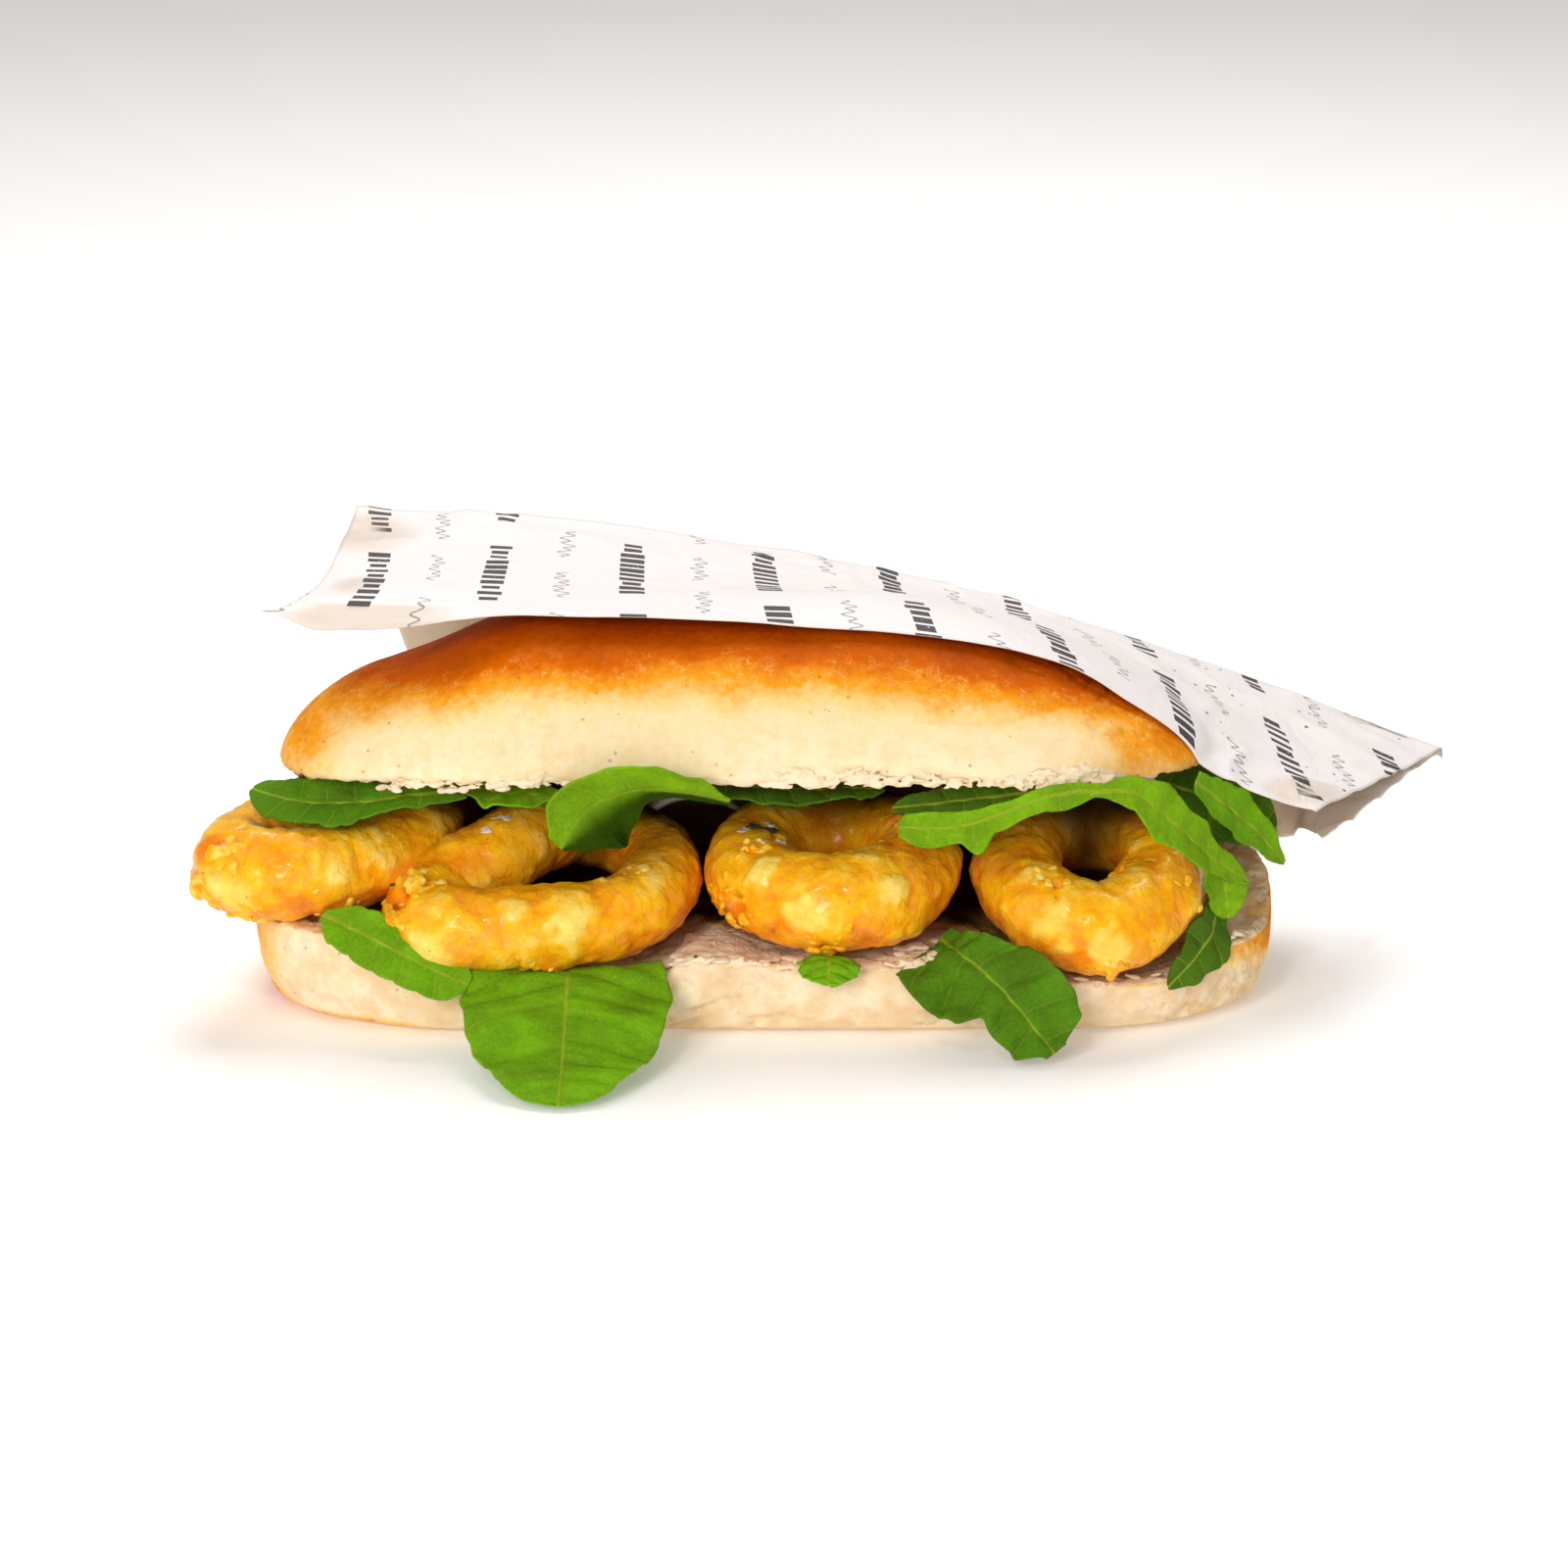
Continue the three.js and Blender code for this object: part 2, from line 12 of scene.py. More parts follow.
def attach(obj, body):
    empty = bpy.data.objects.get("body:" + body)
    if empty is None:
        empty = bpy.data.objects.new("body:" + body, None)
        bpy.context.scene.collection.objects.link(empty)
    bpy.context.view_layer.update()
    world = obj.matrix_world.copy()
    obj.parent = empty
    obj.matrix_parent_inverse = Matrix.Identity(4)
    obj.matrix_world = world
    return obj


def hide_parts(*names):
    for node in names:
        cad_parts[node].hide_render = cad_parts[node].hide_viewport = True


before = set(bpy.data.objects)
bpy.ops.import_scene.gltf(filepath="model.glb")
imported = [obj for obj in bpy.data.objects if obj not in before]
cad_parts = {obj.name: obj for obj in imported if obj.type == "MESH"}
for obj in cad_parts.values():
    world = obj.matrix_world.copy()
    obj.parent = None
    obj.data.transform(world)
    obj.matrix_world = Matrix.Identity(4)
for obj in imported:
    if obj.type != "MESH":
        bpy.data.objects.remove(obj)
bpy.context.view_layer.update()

bl_info = {
    "name": "Fried calamari sandwich",
    "version": (1, 0, 0),
    "blender": (4, 5, 0),
    "location": "3D View > Sidebar > Sandwich",
    "description": "Bakes, fries and wraps a calamari sandwich around its frame",
    "category": "Add Mesh",
}

MM = 0.001
TURN = 2 * math.pi


def tone(red, green, blue):
    """A screen colour, 0 to 255 a channel, as the linear colour that a material takes."""
    def linear(channel):
        share = channel / 255
        return share / 12.92 if share <= 0.04045 else ((share + 0.055) / 1.055) ** 2.4
    return linear(red), linear(green), linear(blue)


def swatch(name, description, colour):
    """A colour that a user can change."""
    return FloatVectorProperty(name=name, description=description, subtype="COLOR", size=3,
                               min=0, max=1, default=tone(*colour))


def length(name, description, millimetres):
    return FloatProperty(name=name, description=description, default=millimetres * MM,
                         unit="LENGTH", precision=5)


# ---------------------------------------------------------------------------------------------- settings
class RollSettings(bpy.types.PropertyGroup):
    """Bread of the roll."""
    grain: length("Grain", "Size of the facets that the baked surface is divided into", 0.92)
    unevenness: length("Unevenness", "Height of the crust's slow swells", 0.7)
    tear: length("Tear", "Depth of the torn crumb along the cut edges", 1.1)
    pale: swatch("Pale crust", "Unbrowned side of the roll", (249, 224, 184))
    cream: swatch("Cream crust", "Where browning starts", (252, 221, 170))
    yellow: swatch("Yellow crust", "Between cream and golden", (251, 204, 128))
    golden: swatch("Golden crust", "Lightly browned crust", (246, 160, 34))
    orange: swatch("Orange crust", "Well browned crust", (212, 98, 0))
    brown: swatch("Brown crust", "Darkest crust, at the top", (158, 60, 0))
    base: swatch("Base crust", "Floury side of the lower half", (238, 206, 162))
    crumb: swatch("Crumb", "Torn and cut inside", (247, 226, 192))
    toasted: swatch("Toasted crumb", "Griddled cut face", (230, 182, 108))


class CalamariSettings(bpy.types.PropertyGroup):
    """Battered squid rings."""
    steps: IntProperty(name="Steps", description="Divisions along each ring", default=330, min=60)
    sides: IntProperty(name="Sides", description="Divisions round each ring's thickness", default=96, min=24)
    lump: length("Lumps", "Height of the batter's lumps", 0.8)
    crag: length("Crags", "Height of the crisp crags on them", 0.2)
    blister: length("Blisters", "Height of the batter's small blisters", 0.24)
    pale: swatch("Pale batter", "Thin smooth batter", (253, 220, 108))
    gold: swatch("Gold batter", "Most of the batter", (253, 188, 20))
    deep: swatch("Deep gold batter", "Well fried batter", (246, 148, 6))
    orange: swatch("Orange batter", "Crisp edges", (226, 112, 4))
    brown: swatch("Brown batter", "Scorched spots and deep creases", (146, 70, 4))


class RocketSettings(bpy.types.PropertyGroup):
    """Rocket leaves."""
    thickness: length("Thickness", "Thickness of a leaf", 0.45)
    quilting: length("Quilting", "How far the leaf swells between its veins", 0.32)
    mid: swatch("Mid green", "Leaves in full light", (108, 170, 0))
    light: swatch("Light green", "Young leaves", (120, 172, 0))
    deep: swatch("Deep green", "Full grown leaves", (60, 122, 1))
    dark: swatch("Dark green", "Old leaves and those in the shade", (34, 88, 8))
    vein: swatch("Vein", "Midrib and side veins", (170, 184, 48))


class SleeveSettings(bpy.types.PropertyGroup):
    """Greaseproof paper sleeve."""
    thickness: length("Thickness", "Thickness of the paper", 0.22)
    wrinkle: length("Wrinkles", "Height of the paper's soft creases", 0.8)
    row_spacing: length("Row spacing", "Distance from one printed row to the next", 31)
    paper: swatch("Paper", "Outside of the sheet", (248, 240, 237))
    inside: swatch("Inside", "Shaded inside of the sheet", (226, 210, 192))
    # Also darkens the turned-down strip by the left corner, as painted shade.
    grease: swatch("Grease", "Oil that has soaked in", (206, 172, 120))
    ink: swatch("Ink", "Printed bars", (38, 33, 36))


class StageSettings(bpy.types.PropertyGroup):
    """Table, lights and camera."""
    elevation: FloatProperty(name="Elevation", description="Camera's height above the table's level",
                             subtype="ANGLE", default=math.radians(17))
    distance: length("Distance", "From the camera to its target", 900)
    frame_width: length("Frame width", "Width of the picture at the target", 308.9)
    floor: swatch("Floor", "Pale table", (250, 249, 248))


def settings(name):
    return getattr(bpy.context.scene, "sandwich_" + name)


# ------------------------------------------------------------------------------------------------ numbers
def ease(value, low, high):
    """0 at low, 1 at high and smooth between; low may be the larger."""
    share = min(1.0, max(0.0, (value - low) / (high - low)))
    return share * share * (3 - 2 * share)


def window(value, start, full, fading, end):
    """0 outside start to end, 1 from full to fading and smooth between."""
    return ease(value, start, full) * ease(value, end, fading)


def blend(a, b, share):
    return a + (b - a) * share


def uneven(place, size, octaves=3, seed=0.0):
    """Smooth noise of about -1 to 1, with lumps about size across. place and size are in millimetres."""
    return noise.fractal(place / size + Vector((seed, -1.7 * seed, 0.6 * seed)), 0.9, 2.1, octaves)


def creased(place, size, octaves=3, seed=0.0):
    """1 along thin branching lines, falling to 0 between them."""
    return max(0.0, 1 - 2.6 * abs(uneven(place, size, octaves, seed)))


def near_any(place, spots, wander=0.0, core=0.3):
    """1 in the middle of a spot of (place, size), 0 from its size outwards."""
    return max(ease((place - Vector(middle)).length + wander, size, size * core) for middle, size in spots)


def cells(place, size):
    """Distance from a cell's edge, 0 at the edge and growing towards its middle, in cell sizes."""
    near, next_near = noise.voronoi(place / size)[0][:2]
    return next_near - near


def between(stops, at):
    """The value at a place along a list of (place, value), eased from each to the next."""
    for (low, first), (high, second) in zip(stops, stops[1:]):
        if at <= high:
            return blend(first, second, ease(at, low, high))
    return stops[-1][1]


def curve(points, steps, closed=False):
    """Evenly spaced places on a smooth curve through the points, as (place, direction)."""
    knots = [Vector(point) for point in points]
    if closed:
        padded = [knots[-1], *knots, knots[0], knots[1]]
    else:
        padded = [2 * knots[0] - knots[1], *knots, 2 * knots[-1] - knots[-2]]
    fine = []
    for start, first, second, end in zip(padded, padded[1:], padded[2:], padded[3:]):
        before, inside, after = (max(1e-4, (b - a).length ** 0.5)
                                 for a, b in ((start, first), (first, second), (second, end)))
        leave = ((first - start) / before - (second - start) / (before + inside)
                 + (second - first) / inside) * inside
        arrive = ((second - first) / inside - (end - first) / (inside + after)
                  + (end - second) / after) * inside
        for part in range(32):
            t = part / 32
            fine.append(first * (2 * t ** 3 - 3 * t ** 2 + 1) + leave * (t ** 3 - 2 * t ** 2 + t)
                        + second * (3 * t ** 2 - 2 * t ** 3) + arrive * (t ** 3 - t ** 2))
    fine.append(padded[-2].copy())
    reached = [0.0]
    for a, b in zip(fine, fine[1:]):
        reached.append(reached[-1] + (b - a).length)
    places, index = [], 0
    for step in range(steps + 1):
        wanted = reached[-1] * step / steps
        while index < len(fine) - 2 and reached[index + 1] < wanted:
            index += 1
        span = max(1e-6, reached[index + 1] - reached[index])
        places.append(fine[index].lerp(fine[index + 1], (wanted - reached[index]) / span))
    found = []
    for step, place in enumerate(places):
        if closed:
            before, after = places[(step - 1) % steps], places[(step + 1) % steps]
        else:
            before, after = places[max(0, step - 1)], places[min(steps, step + 1)]
        found.append((place, (after - before).normalized()))
    return found


# --------------------------------------------------------------------------------------------- materials
# What each finish reads from the vertices of its pieces.
CRUST_PARTS = ("bake", "crumb", "toast", "flour")
BATTER_PARTS = ("crisp", "pool", "scorch", "deep")
LEAF_PARTS = ("aside", "sweep", "underside", "shade")
PAPER_PARTS = ("inner", "grease")
CELL_EDGE = "DISTANCE_TO_EDGE"


def scaled(colour, by):
    """The colour made darker or lighter, up to full."""
    return [min(1, channel * by) for channel in colour]


class Wire:
    """A shader socket in arithmetic: each operation on it adds a Math node."""

    def __init__(self, finish, socket):
        self.finish = finish
        self.socket = socket

    def maths(self, operation, *values):
        return self.finish.node("ShaderNodeMath", {"operation": operation}, dict(enumerate(values)))

    def __add__(self, other): return self.maths("ADD", self, other)
    def __radd__(self, other): return self.maths("ADD", other, self)
    def __sub__(self, other): return self.maths("SUBTRACT", self, other)
    def __rsub__(self, other): return self.maths("SUBTRACT", other, self)
    def __mul__(self, other): return self.maths("MULTIPLY", self, other)
    def __truediv__(self, other): return self.maths("DIVIDE", self, other)
    def __mod__(self, other): return self.maths("FLOORED_MODULO", self, other)
    def __abs__(self): return self.maths("ABSOLUTE", self)
    def __lt__(self, other): return self.maths("LESS_THAN", self, other)
    def __gt__(self, other): return self.maths("GREATER_THAN", self, other)
    def floor(self): return self.maths("FLOOR", self)
    def sine(self): return self.maths("SINE", self)

    def rise(self, low, high):
        """0 below low, 1 above high and smooth between; low may be the larger."""
        if low < high:
            limits = {"From Min": low, "From Max": high, "To Min": 0, "To Max": 1}
        else:
            limits = {"From Min": high, "From Max": low, "To Min": 1, "To Max": 0}
        return self.finish.node("ShaderNodeMapRange", {"interpolation_type": "SMOOTHSTEP"},
                                {"Value": self, **limits})


class Finish:
    """A material made of nodes, on one Principled shader. place is the place on the object, in metres,
    which is the frame's own, and colour is what has been painted so far."""

    def __init__(self, name, **constants):
        self.material = bpy.data.materials.new(name)
        self.material.use_nodes = True
        self.tree = self.material.node_tree
        self.shader = self.tree.nodes["Principled BSDF"]
        for socket, value in constants.items():
            self.shader.inputs[socket.replace("_", " ")].default_value = value
        self.place = self.node("ShaderNodeTexCoord", output="Object")
        self.colour = None

    def node(self, kind, choices=None, sockets=None, output=0):
        """Adds a node: its choices are set first, then each socket's value or link."""
        made = self.tree.nodes.new(kind)
        for name, value in (choices or {}).items():
            if name == "stops":
                ramp = made.color_ramp.elements
                while len(ramp) < len(value):
                    ramp.new(0.5)
                for element, (position, colour) in zip(ramp, value):
                    element.position = position
                    element.color = (*colour, 1)
            else:
                setattr(made, name, value)
        for name, value in (sockets or {}).items():
            if isinstance(value, Wire):
                self.tree.links.new(value.socket, made.inputs[name])
            else:
                made.inputs[name].default_value = value
        return Wire(self, made.outputs[output])

    def attributes(self, names):
        return [self.node("ShaderNodeAttribute", {"attribute_name": name}, output="Fac") for name in names]

    def axes(self, vector):
        split = self.node("ShaderNodeSeparateXYZ", sockets={"Vector": vector})
        return [Wire(self, socket) for socket in split.socket.node.outputs]

    def vectors(self, operation, first, second):
        return self.node("ShaderNodeVectorMath", {"operation": operation}, {0: first, 1: second})

    def stretched(self, by):
        return self.vectors("MULTIPLY", self.place, by)

    def grain(self, size, detail=3.0, distortion=0.0, vector=None):
        """Noise of 0 to 1 with lumps about size millimetres across."""
        return self.node("ShaderNodeTexNoise", sockets={
            "Vector": vector or self.place, "Scale": 1 / (size * MM), "Detail": detail,
            "Distortion": distortion})

    def jittered(self, size, by):
        """The place shaken by up to about half of by millimetres, in swirls about size across."""
        swirl = self.node("ShaderNodeTexNoise", sockets={"Vector": self.place, "Scale": 1 / (size * MM)},
                          output="Color")
        centred = self.vectors("SUBTRACT", swirl, (0.5, 0.5, 0.5))
        return self.vectors("ADD", self.place, self.vectors("MULTIPLY", centred, (by * MM,) * 3))

    def cell(self, size, feature="F1", vector=None):
        return self.node("ShaderNodeTexVoronoi", {"feature": feature},
                         {"Vector": vector or self.place, "Scale": 1 / (size * MM)})

    def mix(self, share, first, second, way="MIX"):
        first, second = (c if isinstance(c, Wire) else (*c, 1) for c in (first, second))
        return self.node("ShaderNodeMix", {"data_type": "RGBA", "blend_type": way},
                         {0: share, 6: first, 7: second}, output=2)

    def ramp(self, share, stops):
        return self.node("ShaderNodeValToRGB", {"stops": stops}, {"Fac": share})

    def paint(self, share, colour, way="MIX"):
        """Lays a share of a colour over what has been painted so far."""
        self.colour = self.mix(share, self.colour, colour, way)

    def relief(self, *layers, under=None):
        """A Normal made from layers of (height, depth), where depth is in millimetres from 0 to 1."""
        for height, depth in layers:
            sockets = {"Height": height, "Distance": depth * MM}
            if under:
                sockets["Normal"] = under
            under = self.node("ShaderNodeBump", sockets=sockets)
        return under

    def wear(self, **links):
        """The material, with the painted colour and the links joined to its shader."""
        for socket, wire in {"Base Color": self.colour, **links}.items():
            self.tree.links.new(wire.socket, self.shader.inputs[socket.replace("_", " ")])
        return self.material


def crust_finish():
    """Baked crust and its torn crumb. bake is the browning, crumb the share of inside that shows,
    toast how much of that the griddle has coloured and, past 0.9, the painted shade deep in the mouth,
    and flour where the crust is dusted."""
    bread = settings("roll")
    finish = Finish("Baked crust", Subsurface_Weight=0.05, Subsurface_Radius=(1.0, 0.45, 0.18),
                    Subsurface_Scale=0.002, Specular_IOR_Level=0.015)
    grain, cell, paint = finish.grain, finish.cell, finish.paint
    bake, crumb, toast, flour = finish.attributes(CRUST_PARTS)
    speckle = grain(1.5, 4) - 0.5
    browned = bake + (grain(9, 5) - 0.5) * 0.2 + speckle * 0.16
    finish.colour = finish.ramp(browned, [
        (0.08, bread.pale), (0.25, bread.cream), (0.36, bread.yellow), (0.48, bread.golden),
        (0.65, bread.orange), (0.92, bread.brown)])
    floury = finish.mix(grain(5, 4).rise(0.35, 0.65), bread.base, tone(248, 228, 196))
    paint(flour * browned.rise(0.34, 0.16), floury)
    # Short pale curls where the crust is neither white nor brown.
    curl = abs(grain(1.3, 2, 1.6) - 0.5).rise(0.045, 0.01) * grain(2.4, 2).rise(0.48, 0.62)
    paint(curl * browned.rise(0.12, 0.34) * browned.rise(0.82, 0.5) * 0.5, tone(255, 222, 130))
    mealy = (grain(3.4, 5) + speckle * 0.6).rise(0.42, 0.66)
    paint(mealy * browned.rise(0.4, 0.1) * 0.34, tone(244, 200, 134))
    # Small pits, painted darker: painted shade in the hollows.
    pit = cell(3.1).rise(0.11, 0.05) * grain(11, 2).rise(0.46, 0.6)
    paint(pit * 0.26, tone(168, 108, 50))
    # Inside of the bread.
    pores = cell(2.2, vector=finish.jittered(2.0, 1.0)).rise(0.3, 0.08)
    toast_mask = (toast + (grain(3.2, 4) - 0.5) * 0.9).rise(0.45, 1.0)
    inside = finish.mix(toast_mask, bread.crumb, bread.toasted)
    # The crumb's pores painted darker: painted shade in them.
    inside = finish.mix(pores * 0.16, inside, tone(206, 156, 98))
    # Deep in the mouth the crumb is painted near black: painted shade.
    inside = finish.mix(toast.rise(0.9, 1.4) * 0.95, inside, tone(58, 28, 6))
    inside_mask = (crumb + speckle * 0.5).rise(0.4, 0.6)
    paint(inside_mask, inside)
    skin = finish.relief((grain(1.3, 5, 0.4), 0.16), (grain(4.5, 3), 0.35), (1 - pit, 0.3))
    torn = finish.relief((grain(1.4, 5, 0.5), 0.45), (1 - pores, 0.25), under=skin)
    return finish.wear(Normal=finish.mix(inside_mask, skin, torn), Roughness=(
        0.62 - browned.rise(0.3, 0.9) * 0.2 + inside_mask * 0.25 + speckle * 0.15))


def batter_finish():
    """Fried batter: crisp is how thin and browned it is, with painted light and shade added, pool
    where it lies smooth and pale, also painted paler as a highlight, scorch where it is burnt, and deep how
    far into the mouth, where the batter is painted near black as shade."""
    fried = settings("calamari")
    finish = Finish("Fried batter", Subsurface_Weight=0.15, Subsurface_Radius=(1.0, 0.5, 0.12),
                    Subsurface_Scale=0.002, Specular_IOR_Level=0.08, Coat_Roughness=0.12, Coat_IOR=1.4)
    grain, cell, paint = finish.grain, finish.cell, finish.paint
    crisp, pool, scorch, deep = finish.attributes(BATTER_PARTS)
    blotch = grain(6.5, 4, 0.6) - 0.5
    fine = grain(1.1, 5, 0.5) - 0.5
    finish.colour = finish.ramp(crisp + blotch * 0.5 + fine * 0.3, [
        (0.12, fried.pale), (0.36, fried.gold), (0.64, fried.deep), (0.86, fried.orange), (1.0, fried.brown)])
    # Pale smooth patches, painted paler also as highlights on the rings' fronts.
    paint((pool * 0.7 + blotch * 1.5 + fine * 1.1).rise(-0.05, 1.1) * 0.7, fried.pale)
    web = cell(2.9, CELL_EDGE, finish.jittered(3.0, 1.6)).rise(0.16, 0.0)
    paint(web * 0.1, fried.orange)
    paint(scorch, fried.brown)
    flecks = grain(0.8, 2).rise(0.7, 0.78) * grain(12, 2).rise(0.45, 0.6)
    paint(flecks * 0.7, tone(255, 240, 196))
    paint(cell(4.4).rise(0.085, 0.05) * 0.5, tone(160, 84, 16))
    # Deep in the mouth the batter is painted near black: painted shade.
    paint(deep * 0.95, tone(50, 22, 2))
    return finish.wear(
        Roughness=0.4 + blotch * 0.3 + fine * 0.3,
        Normal=finish.relief((grain(0.9, 5, 0.3), 0.09), (grain(2.6, 4, 0.5), 0.24), (1 - web, 0.06)),
        Coat_Weight=grain(3, 3).rise(0.4, 0.6) * (1 - deep) * 0.75)


def rocket_finish(name, blade, gloss=0.4):
    """A leaf. aside is the distance from its midrib in millimetres, and sweep grows by one from each side
    vein to the next."""
    rocket = settings("rocket")
    finish = Finish(name, Subsurface_Weight=0.08, Subsurface_Radius=(0.4, 1.0, 0.1), Subsurface_Scale=0.001,
                    Specular_IOR_Level=0.04, Coat_Roughness=0.2, Coat_IOR=1.35)
    grain, paint = finish.grain, finish.paint
    aside, sweep, underside, shade = finish.attributes(LEAF_PARTS)
    patches = grain(8, 3) - 0.5
    fine = grain(1.0, 4) - 0.5
    finish.colour = finish.mix((patches + fine * 0.3 + 0.5).rise(0.25, 0.75),
                               scaled(blade, 0.86 - 0.36 * gloss), scaled(blade, 1.25))
    net = finish.cell(1.5, CELL_EDGE).rise(0.1, 0.0)
    paint(net * 0.04, rocket.vein)
    wavering = sweep + patches * 0.12
    beside = abs(wavering - (wavering + 0.5).floor())
    paint(beside.rise(0.05, 0.012) * grain(6, 1).rise(0.3, 0.5) * 0.36, rocket.vein)
    # Darker along the side veins, the more so the glossier the leaf: painted shade of its quilting.
    paint(beside.rise(0.2, 0.03) * 0.45 * gloss, scaled(blade, 0.5))
    paint(aside.rise(0.62, 0.3) * 0.72, rocket.vein)
    paint(underside * 0.3, tone(122, 150, 44))
    # One half of a curled leaf painted dark: painted shade under the curl.
    paint(shade * 0.94, scaled(blade, 0.07))
    return finish.wear(
        Roughness=0.48 + underside * 0.2 + fine * 0.2,
        Normal=finish.relief((grain(1.3, 3), 0.14), (grain(4.0, 2), 0.4), (1 - net, 0.07),
                             (beside.rise(0.0, 0.4), 0.12)),
        Coat_Weight=(1 - underside) * patches.rise(-0.15, 0.2) * gloss)


# The print, in millimetres: from one bar to the next, and how far each row of bars or waves is shifted
# against the row before it.
BAR_PITCH, BAR_SHIFT, WAVE_SHIFT = 3.1, 23.7, 31.9


def sleeve_finish():
    """Greaseproof paper. Its UV map is the flat sheet in metres. The print is plain bars and loose waves
    in rows, with no letters."""
    wrap = settings("sleeve")
    finish = Finish("Greaseproof paper", Subsurface_Weight=0.15, Subsurface_Radius=(1.0, 0.8, 0.6),
                    Subsurface_Scale=0.001, Specular_IOR_Level=0.3)
    grain, paint = finish.grain, finish.paint
    sheet_x, sheet_y, _ = finish.axes(finish.node("ShaderNodeUVMap", {"uv_map": "sheet"}))
    inner, soaked = finish.attributes(PAPER_PARTS)
    row = sheet_x / wrap.row_spacing
    row_number = row.floor()
    across = (row - row_number - 0.5) * (wrap.row_spacing / MM)   # millimetres from the row's own line
    # Bold row: upright bars of uneven height, in groups with gaps between the groups.
    bar = (sheet_y / MM + row_number * BAR_SHIFT) / BAR_PITCH
    bar_number = bar.floor()
    chance, other_chance, _ = finish.axes(finish.node(
        "ShaderNodeTexWhiteNoise", {"noise_dimensions": "2D"},
        {"Vector": finish.node("ShaderNodeCombineXYZ", sockets={"X": bar_number, "Y": row_number})},
        output="Color"))
    beside = abs(bar - bar_number - 0.5) * BAR_PITCH
    thick = 0.7 + chance * 0.55
    reach = 2.1 + (other_chance > 0.3) * 0.7
    bars = (thick - beside).rise(-0.06, 0.06) * (reach - abs(across)).rise(-0.06, 0.06)
    bars = bars * (((bar_number + row_number * 5) % 15) < 10.5)
    # Thin row between the bold ones: a loose wave, in shorter groups.
    half_row = (row + 0.5).floor()
    far = (row + 0.5 - half_row - 0.5) * (wrap.row_spacing / MM)
    stroke = sheet_y / MM + half_row * WAVE_SHIFT
    wave = far - (stroke * 2.3).sine() * 1.1 - (stroke * 0.83 + 1.0).sine() * 0.7
    steepness = 1 + abs((stroke * 2.3 + 1.57).sine()) * 1.6
    thin = (abs(wave) / steepness).rise(0.32, 0.16) * (((stroke * 0.04) % 1) < 0.62)
    shown = grain(1.1, 4).rise(0.22, 0.36) * (1 - inner * 0.85) * soaked.rise(1.1, 0.9)
    cloud = grain(16, 4) - 0.5
    fibre = grain(1.2, 5, vector=finish.stretched((1.0, 3.0, 1.0))) - 0.5
    finish.colour = finish.mix(0.5 + cloud * 0.9 + fibre * 0.3, scaled(wrap.paper, 0.955), wrap.paper)
    paint(inner * 0.75, wrap.inside)
    # Darker where stained, and on the turned-down strip by the left corner as painted shade.
    oil_and_shade = (soaked + cloud * 1.2 * soaked + fibre * 0.4 * soaked).rise(0.2, 0.9)
    paint(oil_and_shade * 0.36, wrap.grease, "MULTIPLY")
    speck = finish.cell(3.2).rise(0.16, 0.1) * grain(7, 2).rise(0.5, 0.6)
    paint(speck * sheet_x.rise(0.19, 0.215) * (1 - inner) * 0.85, wrap.ink)
    paint(thin * shown * 0.6, wrap.ink)
    paint(bars * shown * 0.95, wrap.ink)
    wrinkle = grain(7, 4, 0.8, finish.stretched((1.0, 0.6, 1.0)))
    return finish.wear(Roughness=0.62 - oil_and_shade * 0.2 + fibre * 0.1,
                       Normal=finish.relief((grain(0.9, 4), 0.05), (wrinkle, 0.5)))


def moist_finish(name, colour, edge, roughness):
    """A wet, slightly see-through stuff such as sauce or onion."""
    finish = Finish(name, Subsurface_Weight=0.3, Subsurface_Radius=(1.0, 0.7, 0.5), Subsurface_Scale=0.002,
                    Specular_IOR_Level=0.5)
    streak = finish.grain(3, 4, 0.5)
    finish.colour = finish.mix(streak.rise(0.35, 0.7), colour, edge)
    return finish.wear(Roughness=roughness + streak * 0.15,
                       Normal=finish.relief((finish.grain(1.6, 3), 0.2)))


# ------------------------------------------------------------------------------------------------ pieces
def placed(name, data):
    """A new object in the scene."""
    thing = bpy.data.objects.new(name, data)
    bpy.context.scene.collection.objects.link(thing)
    return thing


def as_mesh(form, name):
    """form as a mesh; form itself is used up."""
    data = bpy.data.meshes.new(name)
    form.to_mesh(data)
    form.free()
    return data


def finished(name, form, material, replaced=()):
    """Puts form, made in millimetres, into the scene as a piece of the sandwich."""
    bmesh.ops.scale(form, vec=(MM, MM, MM), verts=form.verts)
    for face in form.faces:
        face.smooth = True
    data = as_mesh(form, name)
    data.materials.append(material)
    piece = placed(name, data)
    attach(piece, "root")
    if replaced:
        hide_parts(*replaced)
    return piece


def vertex_layers(form, parts):
    """New attributes on form's vertices, by name."""
    return {part: form.verts.layers.float.new(part) for part in parts}


def remeshed(form, voxel):
    """A bmesh in millimetres: the overlapping closed shapes in form made one skin of even facets."""
    data = as_mesh(form, "form")
    body = placed("form", data)
    joined = body.modifiers.new("One skin", "REMESH")
    joined.mode = "VOXEL"
    joined.voxel_size = voxel
    evaluated = body.evaluated_get(bpy.context.evaluated_depsgraph_get())
    skin = bmesh.new()
    skin.from_mesh(evaluated.to_mesh())
    evaluated.to_mesh_clear()
    bpy.data.objects.remove(body)
    bpy.data.meshes.remove(data)
    return skin


